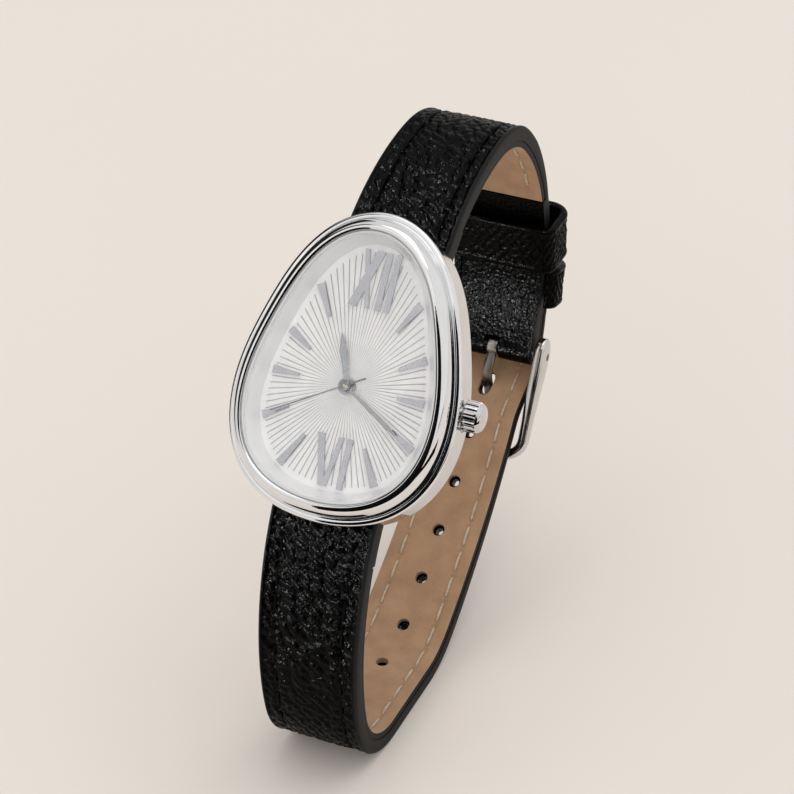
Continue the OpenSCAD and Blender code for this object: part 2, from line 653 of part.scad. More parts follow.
// Snap-on back with its lip, opening notch and seal
module case_back() color("silver") stand() {
    r = back_d / 2;
    lip_r = back_seat_r - seat;
    lip_top = back_thick + back_lip - 0.3;
    difference() {
        translate([0, 0, back_z]) rotate_extrude($fn = 96) polygon([[0, 0], [r - 0.6, 0], [r - 0.15, 0.25],
            [r, back_thick - 0.15], [r, back_thick - seat], [lip_r, back_thick - seat], [lip_r, lip_top],
            [lip_r - back_lip_wall, lip_top], [lip_r - back_lip_wall, back_thick], [0, back_thick]]);
        translate([-1.2, -r - 0.35, back_z + back_thick - 0.25]) cube([2.4, 0.8, 0.4]);
    }
}
module back_gasket() color("dimgrey") stand() {
    translate([0, 0, under_z + back_lip - 0.27]) rotate_extrude($fn = 72)
        translate([back_seat_r - 0.38, 0]) square([0.36, 0.24]);
}

// Sprung bars that carry the strap
module spring_bar(bar) {
    along_x(bar[0], bar[1], lug_width - 0.4, bar_r);
    along_x(bar[0], bar[1], 2 * (notch_half + bar_tip), bar_tip_r);
}
module spring_bar_12() color("silver") stand() spring_bar(bar_12);
module spring_bar_6() color("silver") stand() spring_bar(bar_6);

// Strap leather: full width between the layers, with rounded and painted edges
edge_r = 0.45;
swell = 0.08;
function leather_ring(s, w, low, high) = [for (q = [[-w / 2, low], [-w / 2, high - edge_r],
    [-w / 2 + edge_r * 0.3, high - edge_r * 0.3], [-w / 2 + edge_r, high], [0, high + swell],
    [w / 2 - edge_r, high], [w / 2 - edge_r * 0.3, high - edge_r * 0.3], [w / 2, high - edge_r],
    [w / 2, low]]) let (p = at(s, q[1])) [q[0], p[0], p[1]]];
function slab_ring(s, w, low, high) = [for (q = [[-w / 2, low], [-w / 2, high], [w / 2, high], [w / 2, low]])
    let (p = at(s, q[1])) [q[0], p[0], p[1]]];
// Stations from one distance to another at about the step, with extra ones listed
function stations(from, to, step) = let (n = max(1, round((to - from) / step)))
    [for (i = [0 : n]) from + (to - from) * i / n];
// The same stations with the first and last moved in a little
function shorten(v) = concat(v[0] + 0.1, [for (i = [1 : len(v) - 2]) v[i]], v[len(v) - 1] - 0.1);
// Stations of the long strap's layers: close where its tip narrows and where it crosses the bar
stations_6 = concat(stations(tail_s, tail_s + 5, 1), stations(tail_s + 7, hinge_s, 2.2),
    stations(hinge_s + 1, hinge_s + 9, 1), stations(hinge_s + 11, wrist_length - wrap_s, 2.2));
module bar_bore(p, r) {
    along_x(p[0], p[1], 3 * lug_width, r);
}
hinge = rise(hinge_s, fold_r);
pin_r = 0.6;
prong_slot = prong_width + 0.6;
slot_back = 1.25;
// Leather of one strap: full thickness where full holds, hollowed for the lining elsewhere
module leather(ring_list) {
    skin([for (r = ring_list) leather_ring(r[0], r[1], r[2], r[3])]);
}
step_s = 0.02;
hollow = lining_thick + seat;
module strap_12_leather() color([0.05, 0.05, 0.05]) stand() {
    difference() {
        union() {
            leather(concat(
                [for (s = stations(0, wrap_s, 2.5)) [s, w_12(s), 0, t_12(s)]],
                [for (s = stations(wrap_s + step_s, flap_s, 2.2)) [s, w_12(s), hollow, t_12(s)]],
                [for (s = stations(flap_s + step_s, hinge_s, 2.2)) [s, w_12(s), 0, t_12(s)]]));
            along_x(bar_12[0], bar_12[1], w_12(0), strap_end_r + 0.03);
            along_x(hinge[0], hinge[1], w_12(hinge_s), fold_r + 0.03);
        }
        bar_bore(bar_12, bar_r + seat);
        bar_bore(hinge, pin_r + seat);
        on_line(hinge_s, fold_r) translate([-prong_slot / 2, -clear, -slot_back])
            cube([prong_slot, 2 * clear, 2 * clear]);
    }
}
module strap_12_lining() color("tan") stand() {
    skin([for (s = shorten(stations(wrap_s + step_s, flap_s, 2.2)))
        slab_ring(s, w_12(s) - 0.2, 0, lining_thick)]);
}
module strap_hole(s, r, stretch = 0) {
    on_line(s) {
        for (z = [-stretch / 2, stretch / 2])
            translate([0, 2 * clear, z]) rotate([90, 0, 0]) cylinder(h = 3 * clear, r = r, $fn = 24);
        if (stretch > 0) translate([-r, -clear, -stretch / 2]) cube([2 * r, 3 * clear, stretch]);
    }
}
// How much longer than wide the prong has pulled the hole in use
prong_stretch = 1.2;
module strap_holes() {
    strap_hole(hole_s, hole_d / 2 + 0.05, prong_stretch);
    for (i = [1 : hole_count - 1]) strap_hole(hole_s + i * hole_pitch, hole_d / 2);
}
module strap_6_leather() color([0.05, 0.05, 0.05]) stand() {
    difference() {
        union() {
            leather(concat(
                [for (s = stations_6) [s, w_6(s), lift(s) + hollow, lift(s) + t_6(s)]],
                [for (s = stations(wrist_length - wrap_s + step_s, wrist_length, 2.5))
                    [s, w_6(s), 0, t_6(s)]]));
            along_x(bar_6[0], bar_6[1], lug_width, strap_end_r + 0.03);
        }
        bar_bore(bar_6, bar_r + seat);
        strap_holes();
    }
}
module strap_6_lining() color("tan") stand() {
    difference() {
        skin([for (s = shorten(stations_6))
            slab_ring(s, w_6(s) - 0.2, lift(s), lift(s) + lining_thick)]);
        strap_holes();
    }
}

// Keepers: leather loops round both layers
keeper_half = end_width / 2 + 0.8;
keeper_top = end_thick + tail_gap + tail_thick + 0.6;
keeper_low = -0.9;
keeper_corner = 2.6;
keeper_edge = 1.3;
// Box rounded with one radius below and a larger one above
module rounded_box(half, low, high, r, top_r) {
    for (x = [-1, 1]) {
        translate([x * (half - r), low + r]) circle(r = r, $fn = 24);
        translate([x * (half - top_r), high - top_r]) circle(r = top_r, $fn = 40);
    }
    translate([-half + r, low]) square([2 * half - 2 * r, high - low - top_r]);
    translate([-half + top_r, low + r]) square([2 * half - 2 * top_r, high - low - r]);
    translate([-half, low + r]) square([2 * half, high - low - r - top_r]);
}
module keeper_profile(low, floor_thick) {
    difference() {
        rounded_box(keeper_half + keeper_thick, low - floor_thick, keeper_top + keeper_thick,
            keeper_edge, keeper_corner);
        rounded_box(keeper_half, low, keeper_top, keeper_edge / 2, keeper_corner * 2 / 3);
    }
}
module loose_keeper() color([0.06, 0.06, 0.06]) stand() {
    on_line(loose_s) translate([0, 0, -keeper_width / 2]) linear_extrude(keeper_width)
        keeper_profile(keeper_low, keeper_thick * 0.7);
}
// The fixed keeper's ends turn in between the layers of the short strap at this height
fixed_low = 0.9;
module fixed_keeper() color([0.06, 0.06, 0.06]) stand() {
    strap_half = w_12(fixed_s - fixed_width / 2) / 2 + 3 * seat;
    on_line(fixed_s) translate([0, 0, -fixed_width / 2]) linear_extrude(fixed_width) difference() {
        keeper_profile(fixed_low, keeper_thick * 0.6);
        translate([-strap_half, -clear]) square([2 * strap_half, clear + fixed_low + keeper_thick]);
    }
}

// Buckle: frame and prong on one sprung bar through the folded end of the short strap
arm_in = end_width / 2 + 0.25;
// How far the frame's front bows past its corners, as a share of its reach
bow = 1.04;
// Gap under the front bar, and how far each arm reaches back past the hinge
front_gap = 1;
arm_back = 2.2;
front_s = hinge_s + buckle_length;
front_n = t_6(front_s) + front_gap + arm_depth / 2;
front_point = rise(front_s, front_n);
reach = norm(front_point - hinge);
buckle_heading = atan2(front_point[1] - hinge[1], front_point[0] - hinge[0]);
// Draws children with X along X, Y outwards and Z from the hinge to the front bar
module on_buckle() {
    translate([0, hinge[0], hinge[1]]) rotate([buckle_heading - 90, 0, 0]) rotate([0, 0, 180]) children();
}
module buckle_bar() color("silver") stand() {
    along_x(hinge[0], hinge[1], 2 * arm_in - 0.1, pin_r);
    along_x(hinge[0], hinge[1], 2 * arm_in + 2 * eye_width - 0.5, 0.4);
}
// Path of the frame seen from outside: straight arms as far as the corners, then a bowed front.
// Each arm is widest and deepest round its pin, tapers to the corner and has a rounded back end
corner_start = 0.8;
arm_list = [1, 0.985, 0.94, 0.85, 0.7, 0.45, 0, -0.6, -1.3, -2.1, -2.9, -3.7];
function arm_y(i) = let (k = arm_list[i]) k > 0 ? -arm_back * k : -k / 3.7 * reach * corner_start;
function taper(y) = 1 - smooth(y / reach / corner_start);
function rounding(y) = sqrt(max(0.02, 1 - pow(max(0, -y / arm_back), 2.4)));
function frame_wide(y) = (arm_width + (eye_width - arm_width) * taper(y)) * (0.4 + 0.6 * rounding(y));
function frame_deep(y) = (arm_depth + (eye_depth - arm_depth) * taper(y)) * rounding(y);
function arm_point(y) = [arm_in + (eye_width - arm_width) / 2 * taper(y) + arm_width / 2, y];
function front_path(a) = let (c = cos(a), s = sin(a))
    [(arm_in + arm_width / 2) * sign(c) * pow(abs(c), 0.55),
    reach * (corner_start + (bow - corner_start) * pow(abs(s), 0.7))];
// Ring of the frame at a point of the path, with the direction across the frame there
function frame_ring(p, side) = [for (k = [0 : 9]) let (a = 18 + k * 36, c = cos(a), s = sin(a),
    u = sign(c) * pow(abs(c), 0.6) * frame_wide(p[1]) / 2,
    v = sign(s) * pow(abs(s), 0.6) * frame_deep(p[1]) / 2)
    [p[0] + side[0] * u, v, p[1] + side[1] * u]];
function front_side(a) = let (d = unit(front_path(a + 1) - front_path(a - 1))) [d[1], -d[0]];
module buckle_frame() color("silver") stand() on_buckle() {
    n = len(arm_list);
    difference() {
        skin(concat(
            [for (i = [0 : n - 1]) let (p = arm_point(arm_y(i))) frame_ring(p, [1, 0])],
            [for (a = [8 : 8.2 : 172.1]) frame_ring(front_path(a), front_side(a))],
            [for (i = [n - 1 : -1 : 0]) let (p = arm_point(arm_y(i))) frame_ring([-p[0], p[1]], [-1, 0])]));
        translate([-20, 0, 0]) rotate([0, 90, 0]) cylinder(h = 40, r = 0.4 + run);
    }
}
// Prong: a tube on the bar and a blade that bends out through the strap onto the front bar
function blade_line() = [[0, 0], [1.4, -0.55], [2.6, -0.8], [3.6, -0.55], [4.6, 0.3], [5.6, 1.2],
    [6.6, 1.75], [7.8, 2.05], [bow * reach + 0.35, arm_depth / 2 + 0.12 + prong_thick / 2]];
function blade_normal(i) = let (v = blade_line(), a = v[max(0, i - 1)], b = v[min(len(v) - 1, i + 1)],
    d = unit(b - a)) [-d[1], d[0]];
module buckle_prong() color("silver") stand() on_buckle() {
    v = blade_line();
    difference() {
        union() {
            translate([-prong_width / 2 - 0.1, 0, 0]) rotate([0, 90, 0])
                cylinder(h = prong_width + 0.2, r = pin_r + 0.45);
            translate([prong_width / 2, 0, 0]) rotate([0, -90, 0]) linear_extrude(prong_width)
                polygon(concat([for (i = [0 : len(v) - 1]) v[i] + prong_thick / 2 * blade_normal(i)],
                    [for (i = [len(v) - 1 : -1 : 0]) v[i] - prong_thick / 2 * blade_normal(i)]));
        }
        translate([-20, 0, 0]) rotate([0, 90, 0]) cylinder(h = 40, r = pin_r + run);
    }
}

case_body();
bezel();
crystal();
crystal_gasket();
dial_ring();
dial();
hour_markers();
roman_numerals();
hour_hand();
minute_hand();
second_hand();
movement_holder();
main_plate();
circuit_board();
coil();
battery();
battery_clamp();
hour_wheel();
cannon_pinion();
seconds_wheel();
train_bridge();
setting_lever();
stem();
crown();
crown_tube();
crown_gasket();
case_back();
back_gasket();
spring_bar_12();
spring_bar_6();
strap_12_leather();
strap_12_lining();
strap_6_leather();
strap_6_lining();
fixed_keeper();
loose_keeper();
buckle_bar();
buckle_frame();
buckle_prong();
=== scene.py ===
# %% [markdown]
# # Teardrop case watch on a buckled leather strap
# The watch stands by itself on the bend of its strap, dial leaning back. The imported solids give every
# place and every joint. This script adds what the camera needs on top of them: rings with true curves,
# embossed leather, thread, painted edges, a rayed dial under glass, and a pale studio.

# %% Imports and the frame
import bmesh
import bpy
import math
import numpy as np
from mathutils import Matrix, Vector


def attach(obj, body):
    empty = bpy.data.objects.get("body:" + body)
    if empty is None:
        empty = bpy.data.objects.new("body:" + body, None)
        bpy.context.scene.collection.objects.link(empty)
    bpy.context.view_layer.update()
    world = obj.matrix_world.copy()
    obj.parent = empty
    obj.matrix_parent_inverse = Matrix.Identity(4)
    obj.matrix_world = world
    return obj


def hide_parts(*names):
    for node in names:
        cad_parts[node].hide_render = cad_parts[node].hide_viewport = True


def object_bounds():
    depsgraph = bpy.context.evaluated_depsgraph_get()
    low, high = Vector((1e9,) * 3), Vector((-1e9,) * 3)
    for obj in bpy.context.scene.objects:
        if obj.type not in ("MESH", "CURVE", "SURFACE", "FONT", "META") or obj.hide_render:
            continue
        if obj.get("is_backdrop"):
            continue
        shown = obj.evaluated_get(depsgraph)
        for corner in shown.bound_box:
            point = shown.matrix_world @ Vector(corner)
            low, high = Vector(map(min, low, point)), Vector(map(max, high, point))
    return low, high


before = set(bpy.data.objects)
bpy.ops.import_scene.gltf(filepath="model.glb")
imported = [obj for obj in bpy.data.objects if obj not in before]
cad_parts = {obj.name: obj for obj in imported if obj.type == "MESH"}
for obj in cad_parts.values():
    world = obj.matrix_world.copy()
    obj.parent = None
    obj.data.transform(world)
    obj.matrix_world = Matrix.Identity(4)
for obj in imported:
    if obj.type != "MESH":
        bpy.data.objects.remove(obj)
bounds_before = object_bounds()
print("nodes in the frame:", len(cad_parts))

# %% [markdown]
# ## Sizes
# The pieces are drawn in millimetres and in the watch's own frame: the origin is where the hands' axis
# meets the dial, X runs to 3 o'clock, Y to 12 and Z out of the dial. These are the driving sizes that
# the solids were made from, so a piece modelled here lands exactly on the solid that it stands for.
# Only the studio at the end is set out in metres.

# %% Driving sizes
CASE_LENGTH, CASE_WIDTH = 33.0, 25.4
WALL_HEIGHT, DIAL_DEPTH = 4.3, 0.4
BEZEL_WIDTH, BEZEL_HEIGHT = 2.2, 2.45
STEP_WIDTH, STEP_HEIGHT = 0.7, 0.55
CRYSTAL_THICK, CRYSTAL_BEVEL = 1.0, 0.3
RING_SLOPE, RAY_COUNT = 0.9, 90
LUG_WIDTH, END_WIDTH = 12.0, 9.8
STRAP_THICK, END_THICK, TAIL_THICK, LINING = 2.4, 1.85, 1.6, 0.7
HOLE_D, HOLE_PITCH, HOLE_COUNT = 1.5, 6.1, 7
LEAN = 36.0
KEEPER_WIDTH, FIXED_WIDTH, KEEPER_THICK = 5.8, 5.0, 1.0
BUCKLE_LENGTH, ARM_WIDTH, ARM_DEPTH = 11.4, 1.25, 1.7
EYE_WIDTH, EYE_DEPTH, ARM_BACK = 1.6, 2.9, 2.2
PRONG_WIDTH, PRONG_THICK, PIN_R = 1.2, 0.6, 0.6
CROWN_D, CROWN_LENGTH, CROWN_DOME, CROWN_FLUTES, CROWN_DEPTH = 3.3, 2.3, 0.65, 18, 1.6
SEAT = 0.02
print("case", CASE_WIDTH, "x", CASE_LENGTH, "mm, strap", LUG_WIDTH, "mm wide at the case")

# %% [markdown]
# ## The case outline
# The case is a teardrop with no straight stretch. It could be a hand-drawn Bezier curve, or points read
# off a drawing. Here its radius is a sum of a few cosines of the clock angle, because one formula then
# gives every ring of the watch head: each is the same outline moved inwards by some distance.

# %% Outline
LOBES = [14.4, 0.87, 1.97, 0.97, 0.15, 0.15]
# Width and length of the outline that these cosines give by themselves
LOBES_WIDTH, LOBES_LENGTH = 25.38, 33.04


def edge(angle):
    """Point of the case outline at a clock angle in degrees, 0 at 12 o'clock."""
    a = np.radians(np.asarray(angle, float))
    r = sum(c * np.cos(k * a) for k, c in enumerate(LOBES))
    x = r * np.sin(a) * CASE_WIDTH / LOBES_WIDTH
    y = r * np.cos(a) * CASE_LENGTH / LOBES_LENGTH
    return np.stack([x, y], -1)


def edge_out(angle):
    """Direction square to the outline, outwards."""
    t = edge(np.asarray(angle, float) + 0.5) - edge(np.asarray(angle, float) - 0.5)
    t /= np.linalg.norm(t, axis=-1, keepdims=True)
    return np.stack([-t[..., 1], t[..., 0]], -1)


def inset_at(angle, inset):
    return edge(angle) - np.asarray(inset)[..., None] * edge_out(angle)


print("half width at 3 o'clock:", round(float(edge(90)[0]), 2), "mm")

# %% Heights and insets of the rings
TIP_Y, FOOT_Y = edge(0)[1], edge(180)[1]
GASKET_WIDTH, CRYSTAL_SUNK, RING_LIP = 0.25, 0.05, 0.05
SEAT_Z = DIAL_DEPTH
UNDER_Z = SEAT_Z - WALL_HEIGHT
BEZEL_TOP = SEAT_Z + BEZEL_HEIGHT
CRYSTAL_TOP = BEZEL_TOP - CRYSTAL_SUNK
CRYSTAL_UNDER = CRYSTAL_TOP - CRYSTAL_THICK
CRYSTAL_INSET = BEZEL_WIDTH + GASKET_WIDTH + SEAT
RING_INSET = CRYSTAL_INSET + RING_LIP + RING_SLOPE
print("case from", round(float(FOOT_Y), 2), "to", round(float(TIP_Y), 2), "mm")
print("glass from", round(CRYSTAL_UNDER, 2), "to", round(CRYSTAL_TOP, 2), "mm above the dial")

# %% [markdown]
# ## The line of the strap
# A buckled strap closes on itself under the case. It could be modelled flat and bent by a curve
# modifier, but then nothing says where a hole or a keeper ends up. Here its wrist side is a chain of
# arcs, each a length and a turn, from the bar at 12 round to the bar at 6. Any point of either strap is
# a distance along this line and a height outwards from it, so leather, lining, thread and keepers are
# all drawn in flat strap coordinates and land where they should.

# %% Bars at the case
NOTCH_PLAY = 0.2
HORN_12, HORN_6 = 1.411, 1.299
BAR_RISE_12, BAR_RISE_6 = 0.5, 1.3


def bar_height(horn, low, high):
    """Where the case is just wide enough to leave a horn beside the strap's notch."""
    for _ in range(40):
        mid = (low + high) / 2
        wide_enough = edge(mid)[0] >= LUG_WIDTH / 2 + NOTCH_PLAY + horn
        low, high = (low, mid) if wide_enough else (mid, high)
    return edge(mid)[1]


BAR_12 = np.array([bar_height(HORN_12, 0.0, 60.0), UNDER_Z + BAR_RISE_12])
BAR_6 = np.array([bar_height(HORN_6, 180.0, 120.0), UNDER_Z + BAR_RISE_6])
print("bars at", np.round(BAR_12, 2), "and", np.round(BAR_6, 2), "mm")

# %% Bends of the wrist line
END_R = STRAP_THICK / 2
HEADING, REST, KNEE_LENGTH = -18.5, 10.0, 5.5
# Each bend is a length in mm and a turn in degrees
TO_REST = [(3, 0), (14, -33.5), (8, -44), (31.5, -77.5), (10.5, -13.5), (24.5, -16.5)]
KNEE = LEAN - 270 - HEADING - sum(b[1] for b in TO_REST)
BENDS = TO_REST + [(KNEE_LENGTH, KNEE), (REST, 0), (10, -76.5), (18.5, -35), (6, -14)]
REST_FROM = sum(b[0] for b in TO_REST) + KNEE_LENGTH
REST_TO = REST_FROM + REST
WRIST = float(sum(b[0] for b in BENDS))
print("knee", round(KNEE, 1), "degrees, flat on the floor from", REST_FROM, "to", REST_TO, "mm")


def smooth(t):
    u = np.clip(t, 0, 1)
    return u * u * (3 - 2 * u)


def raw_line(s):
    """Point at distance s along the bends, before the small correction that closes the loop."""
    p = BAR_12 + END_R * np.array([math.sin(math.radians(HEADING)), -math.cos(math.radians(HEADING))])
    h, gone = math.radians(HEADING), 0.0
    for i, (length, turn) in enumerate(BENDS):
        k = math.radians(turn) / length
        last = i == len(BENDS) - 1
        d = s - gone if last or s < gone + length else length
        if abs(k) < 1e-5:
            p = p + d * np.array([math.cos(h), math.sin(h)])
        else:
            p = p + np.array([math.sin(h + k * d) - math.sin(h), math.cos(h) - math.cos(h + k * d)]) / k
        if d != length or last:
            return p
        h, gone = h + k * length, gone + length
    return p


# %% The closed line
FINE_STEP = 0.05
FINE = np.arange(-4, WRIST + 4.001, FINE_STEP)
RAW = np.array([raw_line(s) for s in FINE])
CLOSING = BAR_6 + np.array([0, -END_R]) - raw_line(WRIST)
LINE = RAW + CLOSING * smooth((FINE - REST_TO) / (WRIST - REST_TO))[:, None]
ALONG = np.gradient(LINE, FINE_STEP, axis=0)
ALONG /= np.linalg.norm(ALONG, axis=1, keepdims=True)
PRESS = 0.1
DOWN = np.array([math.sin(math.radians(90 - LEAN)), math.cos(math.radians(90 - LEAN))])


def rise(s, n):
    """Point of the strap's section plane at distance s along the line and n outwards from it."""
    s, n = np.broadcast_arrays(np.asarray(s, float), np.asarray(n, float))
    p = np.stack([np.interp(s, FINE, LINE[:, 0]), np.interp(s, FINE, LINE[:, 1])], -1)
    t = np.stack([np.interp(s, FINE, ALONG[:, 0]), np.interp(s, FINE, ALONG[:, 1])], -1)
    return p + n[..., None] * np.stack([-t[..., 1], t[..., 0]], -1)


print("points on the wrist line:", len(FINE))
REST_POINT = rise((REST_FROM + REST_TO) / 2, STRAP_THICK - PRESS)
FLOOR = float(REST_POINT @ DOWN)
SHIFT_Y = -float(REST_POINT @ np.array([DOWN[1], -DOWN[0]]))


# %% From strap coordinates to the row
def at(s, n):
    """The same, held above the floor, where the strap is pressed flat."""
    p = rise(s, n)
    below = np.minimum(p @ DOWN - FLOOR, 0)
    return p - below[..., None] * DOWN


def to_row(points):
    """Watch frame in millimetres to the row frame in metres: lean back, then down onto the floor."""
    p = np.asarray(points, float)
    y = p[..., 1] * DOWN[1] - p[..., 2] * DOWN[0] + SHIFT_Y
    z = p[..., 1] * DOWN[0] + p[..., 2] * DOWN[1] - FLOOR
    return np.stack([p[..., 0], y, z], -1) / 1000


print("wrist line", round(WRIST, 1), "mm, closed by", np.round(CLOSING, 3), "floor", round(FLOOR, 3))

# %% Places along the strap
HINGE_S, FLAP_S, WRAP_S, CLIMB, FOLD_R = 56.9, 37.0, 5.0, 7.5, 1.3
FIRST_HOLE, KEEPER_GAP, TAIL_PAST = 4.5, 0.25, 0.5
HOLE_S = HINGE_S + FIRST_HOLE
FIXED_S = 49.0
LOOSE_S = FIXED_S - (FIXED_WIDTH + KEEPER_WIDTH) / 2 - KEEPER_GAP
TAIL_S = LOOSE_S - KEEPER_WIDTH / 2 + TAIL_PAST
TAIL_GAP, TIP_ROUND, CLIMB_FROM = 0.3, 5.0, 0.8
# Thickness where the holes are, and where the first part begins to thin
HOLES_THICK, FULL_TO = 1.7, 28
HOLLOW = LINING + SEAT
PRONG_SLOT, SLOT_BACK = 1.8, 1.25
SWELL, ROUND = 0.08, 0.45
print("first hole at", HOLE_S, "mm, loose keeper at", LOOSE_S, "mm, end of the tail at", TAIL_S, "mm")


def thick_12(s):
    places = [0, FULL_TO, FLAP_S, HINGE_S - 4, HINGE_S]
    return np.interp(s, places, [STRAP_THICK, STRAP_THICK, END_THICK, END_THICK, 2 * FOLD_R])


def thick_6(s):
    places = [TAIL_S, HINGE_S + 10, REST_FROM - 8, WRIST]
    return np.interp(s, places, [TAIL_THICK, HOLES_THICK, STRAP_THICK, STRAP_THICK])


def lift(s):
    """Height of the long part above the wrist line, where it runs over the short one and past it."""
    over = (2 * FOLD_R + TAIL_GAP) * (1 - smooth((s - HINGE_S - CLIMB_FROM) / CLIMB))
    return np.where(s <= HINGE_S, thick_12(s) + TAIL_GAP, over)


def width_12(s):
    return LUG_WIDTH + (END_WIDTH - LUG_WIDTH) * np.clip(s / HINGE_S, 0, 1)


def width_6(s):
    full = END_WIDTH + (LUG_WIDTH - END_WIDTH) * np.maximum(0, (s - HINGE_S) / (WRIST - HINGE_S))
    e = np.minimum(1, (s - TAIL_S) / TIP_ROUND)
    return full * np.sqrt(np.maximum(0.06, 1 - (1 - e) ** 2))


# %% [markdown]
# ## Mesh helpers
# Nearly every curved piece here is a grid of points wrapped round one or two directions. Such forms
# could be built from primitives and modifiers, but a grid of our own keeps the faces even, which is
# what mirror metal needs. One function turns a grid into a mesh, keeps strap or ring coordinates in a
# UV map for the materials, and leaves smooth shading on, so that the rings reflect without facets.

# %% A mesh from points
def finish_mesh(name, verts, faces, uv=None, sharp=None, flip_check=True):
    me = bpy.data.meshes.new(name)
    me.from_pydata(np.asarray(verts).tolist(), [], faces if isinstance(faces, list) else faces.tolist())
    me.update()
    if uv is not None:
        layer = me.uv_layers.new(name="flat")
        loops = np.zeros(len(me.loops), np.int32)
        me.loops.foreach_get("vertex_index", loops)
        layer.data.foreach_set("uv", np.asarray(uv, float)[loops].ravel())
    if flip_check:
        bm = bmesh.new()
        bm.from_mesh(me)
        bmesh.ops.recalc_face_normals(bm, faces=bm.faces)
        bm.to_mesh(me)
        bm.free()
    me.shade_smooth()
    if sharp is not None:
        me.set_sharp_from_angle(angle=math.radians(sharp))
    obj = bpy.data.objects.new(name, me)
    bpy.context.scene.collection.objects.link(obj)
    return obj


def describe(obj):
    """Prints a piece's name, its points and its size in mm."""
    points = np.empty(len(obj.data.vertices) * 3)
    obj.data.vertices.foreach_get("co", points)
    size = np.ptp(points.reshape(-1, 3), axis=0) * 1000
    print(obj.name + ":", len(obj.data.vertices), "points,", np.round(size, 2), "mm")


# %% A mesh from a grid
def grid_faces(rows, cols, wrap_rows):
    """Faces of a grid that closes on itself across its columns and, if asked, along its rows."""
    r = np.arange(rows if wrap_rows else rows - 1)
    c = np.arange(cols)
    a, b = np.meshgrid(r, c, indexing="ij")
    a2, b2 = (a + 1) % rows, (b + 1) % cols
    return np.stack([a * cols + b, a2 * cols + b, a2 * cols + b2, a * cols + b2], -1).reshape(-1, 4)


def grid_piece(name, grid, wrap_rows=False, caps=False, sharp=None, uv=None):
    rows, cols = grid.shape[:2]
    faces = grid_faces(rows, cols, wrap_rows).tolist()
    if caps:
        faces.append(list(range(cols)))
        faces.append([(rows - 1) * cols + i for i in reversed(range(cols))])
    if uv is not None:
        uv = np.asarray(uv).reshape(-1, 2)
    return finish_mesh(name, to_row(grid).reshape(-1, 3), faces, uv=uv, sharp=sharp)


# %% Curves and sweeps
def spline(points, per=10):
    """Smooth curve through the points, which are kept."""
    p = np.asarray(points, float)
    q = np.vstack([2 * p[0] - p[1], p, 2 * p[-1] - p[-2]])
    out = []
    for i in range(1, len(q) - 2):
        t = np.linspace(0, 1, per, endpoint=False)[:, None]
        a, b, c, d = q[i - 1], q[i], q[i + 1], q[i + 2]
        out.append(0.5 * (2 * b + (c - a) * t + (2 * a - 5 * b + 4 * c - d) * t ** 2
                          + (3 * b - a - 3 * c + d) * t ** 3))
    return np.vstack(out + [p[-1:]])


OUTLINE_ROUND = 92


def outline_sweep(name, section, steps=480, sharp=None):
    """Ring round the case outline from a section given as a list of (inset, height)."""
    section = np.asarray(section, float)
    angles = np.arange(steps) * 360 / steps
    flat = inset_at(angles[:, None], np.broadcast_to(section[:, 0], (steps, len(section))))
    z = np.broadcast_to(section[:, 1], (steps, len(section)))
    grid = np.dstack([flat, z])
    run = np.r_[0, np.cumsum(np.linalg.norm(np.diff(section, axis=0), axis=1))]
    uv = np.dstack(np.meshgrid(angles / 360 * OUTLINE_ROUND, run, indexing="ij"))
    return grid_piece(name, grid, wrap_rows=True, sharp=sharp, uv=uv)


print("a curve through 3 places gets", len(spline([(0, 0), (1, 1), (2, 0)])), "points")

# %% [markdown]
# ## Noise for leather
# Embossed leather is read from its cells: small scales in rows with dark creases between them, and,
# where the hide is bent, long wrinkles. A bump texture would look right from the front but flat at the
# strap's outline. So both come from one seeded cell pattern, measured in millimetres on the flat strap,
# and are cut into the mesh, where they catch light and shadow.

# %% Noise and cells
def scatter(i, j, seed):
    n = (i.astype(np.int64) * 374761393 + j.astype(np.int64) * 668265263 + seed * 974634777) & 0xFFFFFFFF
    n = ((n ^ (n >> 13)) * 1274126177) & 0xFFFFFFFF
    return ((n ^ (n >> 16)) & 0xFFFF) / 65535.0


def value_noise(u, v, seed):
    i, j = np.floor(u), np.floor(v)
    fu, fv = smooth(u - i), smooth(v - j)
    a, b = scatter(i, j, seed), scatter(i + 1, j, seed)
    c, d = scatter(i, j + 1, seed), scatter(i + 1, j + 1, seed)
    return (a * (1 - fu) + b * fu) * (1 - fv) + (c * (1 - fu) + d * fu) * fv


def cells(u, v, jitter, seed):
    """Distances to the nearest and second nearest cell centre, and the offset from the nearest."""
    i, j = np.floor(u), np.floor(v)
    best = np.full(u.shape, 9.0)
    second = best.copy()
    du, dv, tone = np.zeros(u.shape), np.zeros(u.shape), np.zeros(u.shape)
    for a in (-1, 0, 1):
        for b in (-1, 0, 1):
            cu = i + a + 0.5 + jitter * (scatter(i + a, j + b, seed) - 0.5)
            cv = j + b + 0.5 + jitter * (scatter(i + a, j + b, seed + 7) - 0.5)
            d = np.hypot(u - cu, v - cv)
            near = d < best
            second = np.where(near, best, np.minimum(second, d))
            du, dv = np.where(near, u - cu, du), np.where(near, v - cv, dv)
            tone = np.where(near, scatter(i + a, j + b, seed + 3), tone)
            best = np.where(near, d, best)
    return best, second, du, dv, tone


# %% Embossing
SCALE = 1.25


